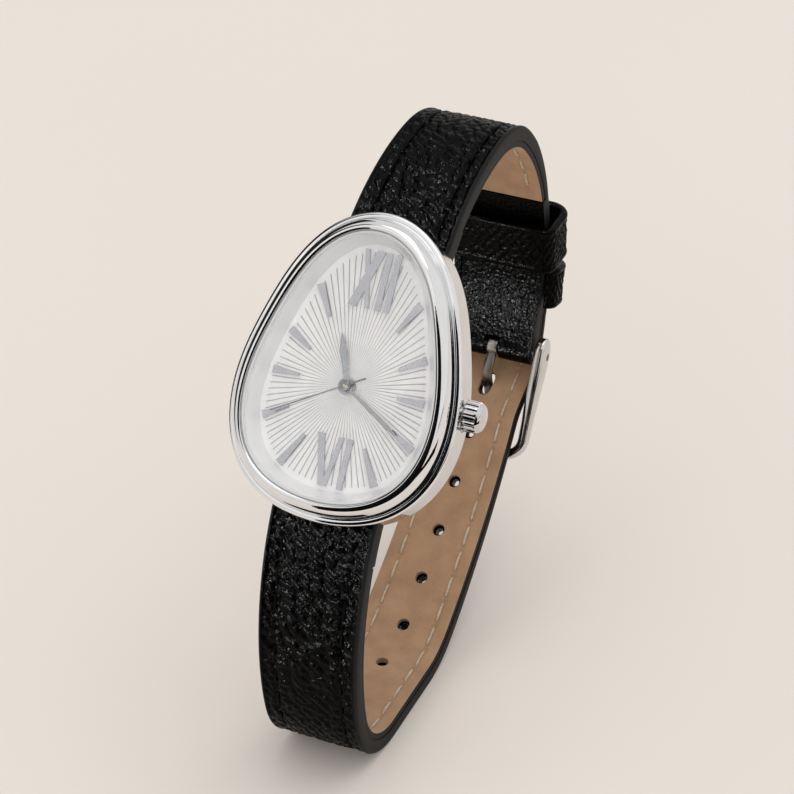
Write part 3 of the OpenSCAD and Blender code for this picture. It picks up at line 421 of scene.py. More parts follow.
def leather_height(x, s, bent):
    """Depth of the embossing below the flat surface, in mm, never above it. bent is 0 to 1."""
    # Scales: creases between domed cells, each cell tipped a little and at its own height
    wx = x + 0.5 * (value_noise(x / 1.7, s / 1.7, 11) - 0.5)
    ws = s + 0.5 * (value_noise(x / 1.7, s / 1.7, 12) - 0.5)
    a, b = (wx + ws * 0.9) / SCALE, (ws * 0.9 - wx) / SCALE
    f1, f2, du, dv, tone = cells(a, b, 0.5, 5)
    scales = -0.12 * (1 - smooth((f2 - f1) / 0.22)) - 0.13 * smooth(f1 / 0.75)
    scales = scales - 0.09 * np.clip(0.5 - (du + dv) * 0.8, 0, 1) - 0.03 * tone
    # Folds: long cells across the strap, with wider creases
    wx = x + 1.1 * (value_noise(x / 2.3, s / 2.3, 21) - 0.5)
    ws = s + 0.35 * x + 1.3 * (value_noise(x / 2.1, s / 2.6, 22) - 0.5)
    f1, f2, du, dv, tone = cells(wx / 1.7 + ws / 5, ws / 0.9, 0.95, 9)
    folds = -0.14 * (1 - smooth((f2 - f1) / 0.3)) - 0.16 * smooth(f1 / 0.8) - 0.08 * tone
    grain = -0.04 * value_noise(x / 0.45, s / 0.45, 31)
    return (1 - bent) * scales + bent * folds + grain


patch_x, patch_s = np.meshgrid(np.linspace(-5, 5, 60), np.linspace(0, 10, 60))
print("deepest crease:", round(float(leather_height(patch_x, patch_s, 0.0).min()), 2), "mm")

# %% [markdown]
# ## Strap skins
# A strap layer is a tube: a top face, a rounded and painted edge, an underside and the other edge. The
# holes are cut by leaving cells out of top and underside, drawing the rim points onto the true circle
# and joining the two rims, which gives clean round holes without boolean cuts.

# %% Edge of a strap
COLS = 84
CORNER_STEPS, DROP_STEPS = 6, 5
FOOT_RISE, FOOT_DRAFT = 0.06, 0.05


def side_profile(w, lo, hi, er):
    """The painted edge at every station: a rounded upper corner, then down to the underside."""
    side_x, side_n = [], []
    for t in np.radians(np.linspace(90, 0, CORNER_STEPS)[1:]):
        side_x.append(w / 2 - er + er * math.cos(t))
        side_n.append(hi - er + er * math.sin(t))
    for d in np.linspace(0, 1, DROP_STEPS)[1:-1]:
        side_x.append(w / 2)
        side_n.append((hi - er) * (1 - d) + (lo + FOOT_RISE) * d)
    side_x.append(w / 2 - FOOT_DRAFT)
    side_n.append(lo)
    return np.array(side_x).T, np.array(side_n).T


# %% Faces of a strap
# Neighbour cell across each side of a cell, and the two corners of that side
RIM_SIDES = ((-1, 0, (0, 0), (0, 1)), (1, 0, (1, 1), (1, 0)),
             (0, -1, (1, 0), (0, 0)), (0, 1, (0, 1), (1, 1)))


def skin_faces(rows, m, gone):
    """Faces of a tube with m columns on each side: no cell that is gone, but a wall round each gap."""
    cols = 2 * (COLS + m)
    faces = grid_faces(rows, cols, False).reshape(rows - 1, cols, 4)
    keep = np.ones((rows - 1, cols), bool)
    under = COLS + m + (COLS - 2 - np.arange(COLS - 1))
    keep[:, :COLS - 1] &= ~gone
    keep[:, under] &= ~gone
    all_faces = faces[keep].tolist()
    mirror = COLS + m + (COLS - 1 - np.arange(COLS))
    for j, i in np.argwhere(gone):
        for dj, di, p, q in RIM_SIDES:
            jj, ii = j + dj, i + di
            if 0 <= jj < gone.shape[0] and 0 <= ii < gone.shape[1] and not gone[jj, ii]:
                a, b = (j + p[0]) * cols + i + p[1], (j + q[0]) * cols + i + q[1]
                a2, b2 = (j + p[0]) * cols + mirror[i + p[1]], (j + q[0]) * cols + mirror[i + q[1]]
                all_faces.append([int(b), int(a), int(a2), int(b2)])
    if not gone[0].any():
        all_faces.append(list(range(cols)))
    if not gone[-1].any():
        all_faces.append([(rows - 1) * cols + i for i in reversed(range(cols))])
    return all_faces


# %% Strap skin
def strap_piece(name, stations, width, low, high, relief=None, cut=None, under_relief=None,
                edge_round=ROUND, swell=SWELL):
    """One layer and its side faces. x runs across the strap, s along it and n outwards from it."""
    s = np.asarray(stations, float)
    w, lo, hi = width(s), low(s), high(s)
    share = np.linspace(-1, 1, COLS)
    er = np.minimum(edge_round, (hi - lo) * 0.45)
    x = share[None, :] * (w / 2 - er)[:, None]
    sg = np.repeat(s[:, None], COLS, 1)
    gone = np.zeros((len(s) - 1, COLS - 1), bool)
    if cut is not None:
        gone, x, sg = cut(x, sg)
    top = hi[:, None] + swell * (1 - share[None, :] ** 2) * np.ones_like(x)
    if relief is not None:
        fade = smooth((1 - np.abs(share)) / 0.04)[None, :]
        top = top + relief(x, sg) * (0.35 + 0.65 * fade)
    bottom = np.repeat(lo[:, None], COLS, 1)
    if under_relief is not None:
        bottom = bottom + under_relief(x, sg)[:, ::-1]
    side_x, side_n = side_profile(w, lo, hi, er)
    side_s = np.repeat(s[:, None], side_x.shape[1], 1)
    # On the sides the map's x goes on growing down the edge, for the lines in the paint
    side_u = w[:, None] / 2 + hi[:, None] - side_n
    # Once round: top, one side, underside, other side
    gx = np.hstack([x, side_x, x[:, ::-1], -side_x[:, ::-1]])
    gs = np.hstack([sg, side_s, sg[:, ::-1], side_s])
    gn = np.hstack([top, side_n, bottom, side_n[:, ::-1]])
    gu = np.hstack([x, side_u, x[:, ::-1], -side_u[:, ::-1]])
    rows, cols = gx.shape
    m = side_x.shape[1]
    all_faces = skin_faces(rows, m, gone)
    used = np.zeros(rows * cols, bool)
    for f in all_faces:
        used[f] = True
    index = np.cumsum(used) - 1
    all_faces = [[int(index[v]) for v in f] for f in all_faces]
    verts = to_row(np.dstack([gx, at(gs, gn)])).reshape(-1, 3)[used]
    uv = np.dstack([gu, gs]).reshape(-1, 2)[used]
    obj = finish_mesh(name, verts, all_faces, uv=uv, sharp=50)
    side = np.zeros((rows, cols), bool)
    side[:, COLS:COLS + m] = True
    side[:, 2 * COLS + m:] = True
    mark = side.reshape(-1)[used]
    poly = np.array([mark[list(p.vertices)].all() for p in obj.data.polygons])
    return obj, poly


# %% Holes
def hole_cut(holes):
    """Leaves out the cells inside each (s, radius, stretch) and draws the rim onto its outline."""
    def cut(x, sg):
        x, sg = x.copy(), sg.copy()
        gone = np.zeros((x.shape[0] - 1, x.shape[1] - 1), bool)
        cx = (x[:-1, :-1] + x[1:, 1:]) / 2
        cs = (sg[:-1, :-1] + sg[1:, 1:]) / 2
        for hole_s, r, stretch in holes:
            gone |= np.hypot(cx, np.maximum(np.abs(cs - hole_s) - stretch / 2, 0)) < r
        pad = np.pad(gone, 1)
        corner = np.stack([pad[:-1, :-1], pad[1:, :-1], pad[:-1, 1:], pad[1:, 1:]])
        rim = corner.any(0) & ~corner.all(0)
        for hole_s, r, stretch in holes:
            off = sg - hole_s
            mid = hole_s + np.clip(off, -stretch / 2, stretch / 2)
            d = np.hypot(x, sg - mid)
            near = rim & (d < r * 1.5) & (d > 1e-6)
            x[near] = x[near] * r / d[near]
            sg[near] = mid[near] + (sg - mid)[near] * r / d[near]
        return gone, x, sg
    return cut


# %% [markdown]
# ## Thread
# A stitch is a short thread that dips into the leather at both ends. One could instance a capsule along
# a curve, or bevel the curve itself, but neither dips. Here all stitches of a seam are one object of
# small bent capsules, set on a path in strap coordinates. The leather is dented along the same path, so
# that the seam lies in a shallow valley as pulled thread does.

# %% Stitches along a path
def stitch_run(path, pitch, length):
    """Middles and directions of the stitches along a path of (x, s) points."""
    path = np.asarray(path, float)
    run = np.r_[0, np.cumsum(np.linalg.norm(np.diff(path, axis=0), axis=1))]
    middles = np.arange(pitch / 2, run[-1] - length / 2, pitch)
    out = []
    for m in middles:
        a = [np.interp(m - length / 2, run, path[:, k]) for k in (0, 1)]
        b = [np.interp(m + length / 2, run, path[:, k]) for k in (0, 1)]
        out.append((np.array(a), np.array(b)))
    return out


# %% Thread in a seam
def thread_piece(name, stitches, height, radius, outward=1.0):
    """All stitches of a seam. Each dives into the leather at both ends and gets thinner there."""
    verts, faces, uv = [], [], []
    ring, steps = 8, 9
    for a, b in stitches:
        d = (b - a) / np.linalg.norm(b - a)
        across = np.array([-d[1], d[0]])
        base = len(verts)
        for i in range(steps):
            t = i / (steps - 1)
            dip = radius * 1.6 * (abs(2 * t - 1) ** 4)
            r = radius * (1 - 0.35 * abs(2 * t - 1) ** 3)
            mid = a + (b - a) * t
            for k in range(ring):
                q = 2 * math.pi * k / ring
                p = mid + across * r * math.cos(q)
                n = height(p[1]) + outward * (r * 0.8 * math.sin(q) - dip)
                y, z = at(p[1], n)
                verts.append((p[0], y, z))
                uv.append((p[0], p[1]))
        for i in range(steps - 1):
            for k in range(ring):
                k2 = (k + 1) % ring
                faces.append([base + i * ring + k, base + i * ring + k2, base + (i + 1) * ring + k2,
                              base + (i + 1) * ring + k])
        faces.append([base + k for k in reversed(range(ring))])
        faces.append([base + (steps - 1) * ring + k for k in range(ring)])
    return finish_mesh(name, to_row(np.array(verts)), faces, uv=uv)


# %% Paths of the seams
SEAM = 1.9
INNER_SEAM = 1.75


def side_seams(width, start, end, inset, step=0.5):
    s = np.arange(start, end, step)
    return [np.stack([side * (width(s) / 2 - inset), s], -1) for side in (-1, 1)]


TIP_REACH = 5.2
tail_turn = np.radians(np.linspace(180, 0, 25))


def tail_seam(inset, end):
    """Down one side of the long strap, round its tip and up the other side."""
    from_s = TAIL_S + TIP_REACH
    half = float(width_6(np.array(from_s)) / 2 - inset)
    left, right = side_seams(width_6, from_s, end, inset)
    tip = np.stack([half * np.cos(tail_turn), from_s - (TIP_REACH - inset) * np.sin(tail_turn)], -1)
    return np.vstack([left[::-1], tip, right])


SEAM_FROM = 3.2
seams_12 = side_seams(width_12, SEAM_FROM, HINGE_S - 3, SEAM)
seams_12_in = side_seams(width_12, WRAP_S + 1.2, FLAP_S - 0.6, INNER_SEAM)
seam_6 = tail_seam(SEAM, WRIST - SEAM_FROM)
seam_6_in = tail_seam(INNER_SEAM, WRIST - WRAP_S - 1)
OUT_PITCH, OUT_LENGTH = 3.0, 2.25
IN_PITCH, IN_LENGTH = 3.2, 2.5
runs_12 = [stitch_run(p, OUT_PITCH, OUT_LENGTH) for p in seams_12]
runs_6 = [stitch_run(seam_6, OUT_PITCH, OUT_LENGTH)]
runs_12_in = [stitch_run(p, IN_PITCH, IN_LENGTH) for p in seams_12_in]
runs_6_in = [stitch_run(seam_6_in, IN_PITCH, IN_LENGTH)]
print("stitches outside:", sum(len(r) for r in runs_12 + runs_6))
print("stitches inside:", sum(len(r) for r in runs_12_in + runs_6_in))


# %% Valley of a seam
SEAM_REACH, VALLEY_DEPTH, VALLEY_HALF, NEEDLE_DEPTH = 1.5, 0.1, 0.36, 0.2
NEEDLE_SPREAD = 0.07


def seam_dent(x, s, runs):
    """Needle holes and the valley that pulled thread leaves, as heights below the surface in mm."""
    dent = np.zeros_like(x)
    for run in runs:
        for a, b in run:
            lo, hi = min(a[1], b[1]) - SEAM_REACH, max(a[1], b[1]) + SEAM_REACH
            rows = (s[:, 0] > lo) & (s[:, 0] < hi)
            if not rows.any():
                continue
            xx, ss = x[rows], s[rows]
            d = b - a
            t = np.clip(((xx - a[0]) * d[0] + (ss - a[1]) * d[1]) / (d @ d), 0, 1)
            off = np.hypot(xx - a[0] - t * d[0], ss - a[1] - t * d[1])
            valley = VALLEY_DEPTH * np.exp(-(off / VALLEY_HALF) ** 2)
            ends = NEEDLE_DEPTH * (np.exp(-((xx - a[0]) ** 2 + (ss - a[1]) ** 2) / NEEDLE_SPREAD)
                                   + np.exp(-((xx - b[0]) ** 2 + (ss - b[1]) ** 2) / NEEDLE_SPREAD))
            dent[rows] = np.maximum(dent[rows], valley + ends)
    return -dent


# %% [markdown]
# ## Node groups
# Grain, streaks and slow changes of tone are needed by more than one material. They could be copied
# from one to the next, but then a correction would have to be made in each. So each is a small group
# with named inputs, which hands back only a value or a normal. The shader stays in the material, where
# its uniform settings can be read at a glance.

# %% Node helpers
def link(tree, a, b):
    tree.links.new(a, b)


def add(tree, kind, **values):
    """New node. A value goes to the setting of that name, or else to the socket of that name."""
    n = tree.nodes.new(kind)
    for key, value in values.items():
        if hasattr(n, key):
            setattr(n, key, value)
        else:
            n.inputs[key.replace("_", " ")].default_value = value
    return n


def new_group(name, inputs, outputs):
    g = bpy.data.node_groups.new(name, "ShaderNodeTree")
    for label, kind, value in inputs:
        sock = g.interface.new_socket(name=label, in_out="INPUT", socket_type=kind)
        if value is not None:
            sock.default_value = value
    for label, kind in outputs:
        g.interface.new_socket(name=label, in_out="OUTPUT", socket_type=kind)
    return g, g.nodes.new("NodeGroupInput"), g.nodes.new("NodeGroupOutput")


def list_sockets(group):
    """Prints a group with the names of its inputs and outputs."""
    print("group", group.name, [item.name for item in group.interface.items_tree])


VECTOR, FLOAT = "NodeSocketVector", "NodeSocketFloat"

# %% Group: speckled value
# A value that wanders between two limits, for roughness and tone that are never quite even.
speckle, g_in, g_out = new_group(
    "Speckle", [("Vector", VECTOR, None), ("Scale", FLOAT, 200.0), ("Low", FLOAT, 0.0),
                ("High", FLOAT, 1.0)], [("Value", FLOAT)])
n_noise = add(speckle, "ShaderNodeTexNoise", Detail=4.0)
n_map = add(speckle, "ShaderNodeMapRange", From_Min=0.3, From_Max=0.7)
link(speckle, g_in.outputs["Vector"], n_noise.inputs["Vector"])
link(speckle, g_in.outputs["Scale"], n_noise.inputs["Scale"])
link(speckle, n_noise.outputs["Fac"], n_map.inputs["Value"])
link(speckle, g_in.outputs["Low"], n_map.inputs["To Min"])
link(speckle, g_in.outputs["High"], n_map.inputs["To Max"])
link(speckle, n_map.outputs["Result"], g_out.inputs["Value"])
list_sockets(speckle)

# %% Group: fine grain as a normal
# Small even bumps: moulded plastic, paint, thread, suede.
grain, g_in, g_out = new_group(
    "Fine grain", [("Vector", VECTOR, None), ("Scale", FLOAT, 3000.0), ("Strength", FLOAT, 0.2),
                   ("Height", FLOAT, 0.00005)], [("Normal", VECTOR)])
n_noise = add(grain, "ShaderNodeTexNoise", Detail=3.0)
n_bump = add(grain, "ShaderNodeBump")
link(grain, g_in.outputs["Vector"], n_noise.inputs["Vector"])
link(grain, g_in.outputs["Scale"], n_noise.inputs["Scale"])
link(grain, g_in.outputs["Strength"], n_bump.inputs["Strength"])
link(grain, g_in.outputs["Height"], n_bump.inputs["Distance"])
link(grain, n_noise.outputs["Fac"], n_bump.inputs["Height"])
link(grain, n_bump.outputs["Normal"], g_out.inputs["Normal"])
list_sockets(grain)

# %% Group: streaks
# Brushing: noise stretched a long way in one direction, as a value and as a normal.
streaks, g_in, g_out = new_group(
    "Streaks", [("Vector", VECTOR, None), ("Stretch", VECTOR, (1.0, 1.0, 1.0)), ("Strength", FLOAT, 0.1)],
    [("Value", FLOAT), ("Normal", VECTOR)])
n_mul = add(streaks, "ShaderNodeVectorMath", operation="MULTIPLY")
n_noise = add(streaks, "ShaderNodeTexNoise", Scale=1.0, Detail=3.0)
n_bump = add(streaks, "ShaderNodeBump", Distance=0.00002)
link(streaks, g_in.outputs["Vector"], n_mul.inputs[0])
link(streaks, g_in.outputs["Stretch"], n_mul.inputs[1])
link(streaks, n_mul.outputs["Vector"], n_noise.inputs["Vector"])
link(streaks, g_in.outputs["Strength"], n_bump.inputs["Strength"])
link(streaks, n_noise.outputs["Fac"], n_bump.inputs["Height"])
link(streaks, n_noise.outputs["Fac"], g_out.inputs["Value"])
link(streaks, n_bump.outputs["Normal"], g_out.inputs["Normal"])
list_sockets(streaks)

# %% Group: hide
# Pores and hair-fine creases on top of the embossing that is already in the mesh. The crease value
# also serves as the mask for painted shade in the leather's colour.
hide, g_in, g_out = new_group(
    "Hide", [("Vector", VECTOR, None), ("Pore Scale", FLOAT, 3.2), ("Strength", FLOAT, 0.5)],
    [("Normal", VECTOR), ("Crease Shade", FLOAT)])
n_cell = add(hide, "ShaderNodeTexVoronoi", feature="DISTANCE_TO_EDGE")
n_step = add(hide, "ShaderNodeMapRange", From_Max=0.25)
n_fine = add(hide, "ShaderNodeTexNoise", Scale=5.0, Detail=3.0)
n_sum = add(hide, "ShaderNodeMath", operation="MULTIPLY_ADD")
n_bump = add(hide, "ShaderNodeBump", Distance=0.00006)
link(hide, g_in.outputs["Vector"], n_cell.inputs["Vector"])
link(hide, g_in.outputs["Pore Scale"], n_cell.inputs["Scale"])
link(hide, g_in.outputs["Vector"], n_fine.inputs["Vector"])
link(hide, n_cell.outputs["Distance"], n_step.inputs["Value"])
link(hide, n_fine.outputs["Fac"], n_sum.inputs[0])
n_sum.inputs[1].default_value = 0.5
link(hide, n_step.outputs["Result"], n_sum.inputs[2])
link(hide, n_sum.outputs["Value"], n_bump.inputs["Height"])
link(hide, g_in.outputs["Strength"], n_bump.inputs["Strength"])
link(hide, n_bump.outputs["Normal"], g_out.inputs["Normal"])
link(hide, n_step.outputs["Result"], g_out.inputs["Crease Shade"])
list_sockets(hide)


# %% Material helpers
def use(tree, group, **values):
    n = tree.nodes.new("ShaderNodeGroup")
    n.node_tree = group
    for key, value in values.items():
        n.inputs[key.replace("_", " ")].default_value = value
    return n


def new_material(name):
    mat = bpy.data.materials.new(name)
    mat.use_nodes = True
    tree = mat.node_tree
    return mat, tree, tree.nodes["Principled BSDF"]


def coords(tree, kind="Object"):
    return tree.nodes.new("ShaderNodeTexCoord").outputs[kind]


def two_tone(tree, value, dark, light, target):
    """Colour between dark and light by a value from 0 to 1, into the target socket."""
    n = add(tree, "ShaderNodeMix", data_type="RGBA")
    n.inputs["A"].default_value = (*dark, 1)
    n.inputs["B"].default_value = (*light, 1)
    link(tree, value, n.inputs["Factor"])
    link(tree, n.outputs["Result"], target)


# %% Steps that every finish takes
def wander(tree, where, scale, low=0.0, high=1.0, target=None):
    """A speckled value between low and high, led into the target socket if there is one."""
    n = use(tree, speckle, Scale=scale, Low=low, High=high)
    link(tree, where, n.inputs["Vector"])
    if target is not None:
        link(tree, n.outputs["Value"], target)
    return n.outputs["Value"]


def add_grain(tree, where, bsdf, scale, strength):
    """Fine grain as the shader's normal."""
    n = use(tree, grain, Scale=scale, Strength=strength)
    link(tree, where, n.inputs["Vector"])
    link(tree, n.outputs["Normal"], bsdf.inputs["Normal"])


def finish(name, dark, light, rough, scale, gloss_scale, grain_strength, grain_scale):
    """Two close tones, a gloss that wanders between two limits, and a trace of grain."""
    mat, tree, bsdf = new_material(name)
    where = coords(tree)
    two_tone(tree, wander(tree, where, scale), dark, light, bsdf.inputs["Base Color"])
    wander(tree, where, gloss_scale, *rough, target=bsdf.inputs["Roughness"])
    add_grain(tree, where, bsdf, grain_scale, grain_strength)
    return mat, bsdf


# %% Two recipes
def metal(name, dark, light, rough, grain_strength=0.03, share=1.0):
    """Solid metal, or with a smaller share a lacquer over it."""
    scale = 400.0
    mat, bsdf = finish(name, dark, light, rough, scale, scale * 1.7, grain_strength, 4000.0)
    bsdf.inputs["Metallic"].default_value = share
    return mat


def plain(name, dark, light, rough, scale=300.0, grain_strength=0.15, grain_scale=5000.0):
    """Plastic, paint, rubber or thread."""
    mat, bsdf = finish(name, dark, light, rough, scale, scale * 2, grain_strength, grain_scale)
    return mat


def give(obj, *materials):
    obj.data.materials.clear()
    for m in materials:
        obj.data.materials.append(m)


# %% [markdown]
# ## Finishes that share a recipe
# The metals of a watch differ in tone and in how far they were polished. Each is the same short recipe
# with two close tones and a range of gloss, and the plastics, seals and threads have one of their own.
# Parts that were tumbled, such as the buckle, are greyer and duller than the polished bezel.

# %% Polished and turned metals
chrome = metal("polished chrome", (0.80, 0.81, 0.83), (0.86, 0.87, 0.88), (0.025, 0.05))
flank = metal("polished flank", (0.66, 0.66, 0.67), (0.74, 0.74, 0.75), (0.06, 0.12), grain_strength=0.04)
crown_metal = metal("turned crown", (0.66, 0.66, 0.67), (0.74, 0.74, 0.75), (0.04, 0.08))
buckle_metal = metal("tumbled buckle", (0.60, 0.59, 0.58), (0.68, 0.67, 0.66), (0.1, 0.18),
                     grain_strength=0.05)
satin = metal("satin back", (0.66, 0.67, 0.69), (0.74, 0.75, 0.76), (0.16, 0.24), grain_strength=0.06)
applied = metal("applied markers", (0.52, 0.52, 0.56), (0.57, 0.57, 0.61), (0.22, 0.28))
# Painted shade: a near-black metal for the bevels of markers and hands, the dark line along their cut sides
painted_shade_edge = metal("marker edges painted shade", (0.03, 0.03, 0.034), (0.06, 0.06, 0.065), (0.2, 0.3))
steel = metal("turned steel", (0.52, 0.53, 0.55), (0.62, 0.63, 0.64), (0.2, 0.32))
brass = metal("plated brass", (0.72, 0.54, 0.25), (0.82, 0.64, 0.33), (0.2, 0.3))
copper = metal("enamelled copper", (0.60, 0.24, 0.10), (0.72, 0.33, 0.15), (0.25, 0.35))
print("metals:", ", ".join(m.name for m in (chrome, flank, crown_metal, buckle_metal, satin, applied)))

# %% Prong, hands, plastics and seals
prong_metal = metal("tumbled prong", (0.36, 0.34, 0.32), (0.44, 0.42, 0.40), (0.24, 0.34))
# Painted shade and painted reflection: the blade is darker than the buckle's metal and brown, as the tan
# lining reflected in it
blade_painted_reflection = metal("prong blade painted shade and reflection", (0.20, 0.18, 0.165), (0.27, 0.245, 0.225), (0.3, 0.4))
hand_metal = metal("polished hands", (0.42, 0.43, 0.45), (0.50, 0.51, 0.53), (0.08, 0.14))
dark_hand = metal("seconds hand", (0.24, 0.25, 0.27), (0.32, 0.33, 0.35), (0.12, 0.2))
white_plastic = plain("movement plastic", (0.78, 0.78, 0.75), (0.86, 0.86, 0.84), (0.4, 0.55))
board = plain("circuit board", (0.02, 0.16, 0.07), (0.03, 0.22, 0.10), (0.3, 0.45))
rubber = plain("seal rubber", (0.012, 0.012, 0.012), (0.025, 0.025, 0.025), (0.6, 0.75))
clear_seal = plain("crystal seal", (0.70, 0.71, 0.72), (0.80, 0.81, 0.82), (0.3, 0.4))
print("plastics and seals:", ", ".join(m.name for m in (white_plastic, board, rubber, clear_seal)))

# %% [markdown]
# ## Bezel
# A pressed and polished ring in two tiers: a low outer step and a tall rounded ring that holds the
# glass. Bevelling the solid's edges would round them, but with a constant radius. Here the section is a
# smooth curve with one sharp valley, swept round the outline, because mirror metal shows every facet
# and every kink.

# %% Bezel
# w and h are the ring's width and height, st is the step's width and z the height of the seat
w, st, h, z = BEZEL_WIDTH, STEP_WIDTH, BEZEL_HEIGHT, SEAT_Z + SEAT
inner_wall = [(w, z), (w, z + 0.3 * h), (w, z + 0.6 * h)]
crest = spline([(w, z + 0.84 * h), (w - 0.03, z + 0.91 * h), (w - 0.12, z + 0.965 * h), (w - 0.32, z + h),
                (w - 0.62, z + 0.975 * h), (w - 0.93, z + 0.87 * h), (w - 1.19, z + 0.69 * h),
                (w - 1.37, z + 0.46 * h), (st + 0.08, z + STEP_HEIGHT - 0.08)])
step = spline([(st + 0.03, z + STEP_HEIGHT - 0.08), (st - 0.1, z + STEP_HEIGHT - 0.01),
               (st * 0.5, z + STEP_HEIGHT), (st * 0.2, z + STEP_HEIGHT * 0.8),
               (0.03, z + STEP_HEIGHT * 0.42), (0.03, z)])
bezel = outline_sweep("bezel_polished", inner_wall + crest.tolist() + step.tolist(), sharp=40)
give(bezel, chrome)
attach(bezel, "watch")
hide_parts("bezel")
describe(bezel)

# %% [markdown]
# ## Crystal
# Flat mineral glass with a narrow bevel. It needs few faces, since only its outline is curved. The
# shader is clear glass, except that lamps see through it: otherwise the dial would sit in a hard shadow
# that real glass doesn't throw. Rim and bevel are ground, not polished, so that they read as one pale
# line and don't repeat the dial's edge.

# %% Crystal
def clear_glass(name, rough):
    mat, tree, bsdf = new_material(name)
    bsdf.inputs["Roughness"].default_value = rough
    bsdf.inputs["Transmission Weight"].default_value = 1.0
    bsdf.inputs["IOR"].default_value = 1.45
    smear = wander(tree, coords(tree), 120.0)
    two_tone(tree, smear, (0.97, 0.98, 0.98), (1.0, 1.0, 1.0), bsdf.inputs["Base Color"])
    path = tree.nodes.new("ShaderNodeLightPath")
    through = tree.nodes.new("ShaderNodeBsdfTransparent")
    mix = tree.nodes.new("ShaderNodeMixShader")
    link(tree, path.outputs["Is Shadow Ray"], mix.inputs["Fac"])
    link(tree, bsdf.outputs["BSDF"], mix.inputs[1])
    link(tree, through.outputs["BSDF"], mix.inputs[2])
    link(tree, mix.outputs["Shader"], tree.nodes["Material Output"].inputs["Surface"])
    return mat


glass = clear_glass("mineral glass", 0.0)
ground = clear_glass("ground edge", 0.55)
CRYSTAL_STEPS = 360
angles = np.arange(CRYSTAL_STEPS)
levels = [(CRYSTAL_INSET, CRYSTAL_UNDER), (CRYSTAL_INSET, CRYSTAL_TOP - CRYSTAL_BEVEL),
          (CRYSTAL_INSET + CRYSTAL_BEVEL, CRYSTAL_TOP)]
grid = np.array([np.column_stack([inset_at(-angles, np.full(CRYSTAL_STEPS, i)), np.full(CRYSTAL_STEPS, z)])
                 for i, z in levels])
crystal = grid_piece("crystal_clear", grid, caps=True, sharp=25)
give(crystal, glass, ground)
# Rim and bevel come first in the grid, then the two flat faces
crystal.data.polygons.foreach_set("material_index", [1] * (2 * CRYSTAL_STEPS) + [0] * 2)
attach(crystal, "watch")
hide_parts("crystal")
describe(crystal)

# %% [markdown]
# ## Dial ring and dial
# The sloping ring between glass and dial is satin. The dial is stamped with rays that fan out from the
# hands and stop short of the ring in small points. A striped texture could draw them, but it would
# stay the same from every side. Here each ray is a shallow ridge with one steep side, so that
# neighbouring rays take the light differently, as stamped sunbursts do. The UV map tells the material
# how high on its ray a point is, and the narrow valleys get painted shade: a darker colour.

# %% Dial ring
ring_satin = metal("satin ring", (0.86, 0.86, 0.87), (0.91, 0.91, 0.92), (0.38, 0.48), grain_strength=0.05,
                   share=0.15)
top = CRYSTAL_UNDER - SEAT
DIAL_PLAY, RING_PLAY = 0.2, 0.05
ring = outline_sweep("ring_satin", [
    (RING_INSET, SEAT), (RING_INSET - RING_SLOPE, top), (BEZEL_WIDTH + RING_PLAY, top),
    (BEZEL_WIDTH + RING_PLAY, SEAT_Z + 0.2), (BEZEL_WIDTH + DIAL_PLAY, SEAT_Z + 0.05),
    (BEZEL_WIDTH + DIAL_PLAY, SEAT)], sharp=30)
give(ring, ring_satin)
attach(ring, "watch")
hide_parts("dial_ring")
describe(ring)

# %% Dial lacquer
dial_metal, tree, bsdf = new_material("sunburst dial")
where = coords(tree)
ray = tree.nodes.new("ShaderNodeSeparateXYZ")
link(tree, coords(tree, "UV"), ray.inputs["Vector"])
# Painted shade: the lowest part of each ray, its valley, gets the dark colour of the two tones below
valley_painted_shade = add(tree, "ShaderNodeMapRange", From_Min=0.0, From_Max=0.26, To_Min=0.0, To_Max=0.9)
link(tree, ray.outputs["X"], valley_painted_shade.inputs["Value"])
shade = add(tree, "ShaderNodeMath", operation="ADD")
link(tree, valley_painted_shade.outputs["Result"], shade.inputs[0])
wander(tree, where, 500.0, 0.0, 0.1, target=shade.inputs[1])
two_tone(tree, shade.outputs["Value"], (0.33, 0.32, 0.32), (0.93, 0.925, 0.93), bsdf.inputs["Base Color"])
bsdf.inputs["Specular IOR Level"].default_value = 0.25
wander(tree, where, 900.0, 0.4, 0.5, target=bsdf.inputs["Roughness"])
add_grain(tree, where, bsdf, 9000.0, 0.12)
print(dial_metal.name, "has", len(tree.nodes), "nodes")

# %% Dial
PER_RAY, RAY_HEIGHT, AXIS_HOLE, HUB_R, PLATE = 8, 0.1, 0.8, 1.3, 0.35
RAY_CREST = 0.62
angles = np.arange(RAY_COUNT * PER_RAY) * 360 / (RAY_COUNT * PER_RAY)
phase = (np.arange(RAY_COUNT * PER_RAY) % PER_RAY) / PER_RAY
ridge = np.where(phase < RAY_CREST, phase / RAY_CREST, (1 - phase) / (1 - RAY_CREST))
flat_top = 0.6 * np.minimum(1, ridge / 0.22) + 0.4 * ridge
outer = inset_at(angles, np.full(angles.shape, BEZEL_WIDTH + DIAL_PLAY))
tips = inset_at(angles, np.full(angles.shape, RING_INSET + 0.35) + 0.45 * ridge)
rows = []
hub_dir = np.stack([np.sin(np.radians(angles)), np.cos(np.radians(angles))], -1)
for share in (0.0, 0.04, 0.1, 0.2, 0.35, 0.5, 0.65, 0.8, 0.92, 0.97):
    flat = hub_dir * HUB_R * (1 - share) + tips * share
    tall = RAY_HEIGHT * flat_top * min(1, 0.25 + share * 1.4)
    rows.append(np.column_stack([flat, tall]))
rows.append(np.column_stack([tips, np.zeros(len(angles))]))
rows.append(np.column_stack([outer, np.zeros(len(angles))]))
rows.append(np.column_stack([outer, np.full(len(angles), -PLATE)]))
inner = [np.column_stack([hub_dir * AXIS_HOLE, np.full(len(angles), level)]) for level in (-PLATE, 0.0)]
start = np.column_stack([hub_dir * (HUB_R - 0.05), np.zeros(len(angles))])
levels = inner + [start] + rows
plain_rows = np.ones((3, len(angles)))
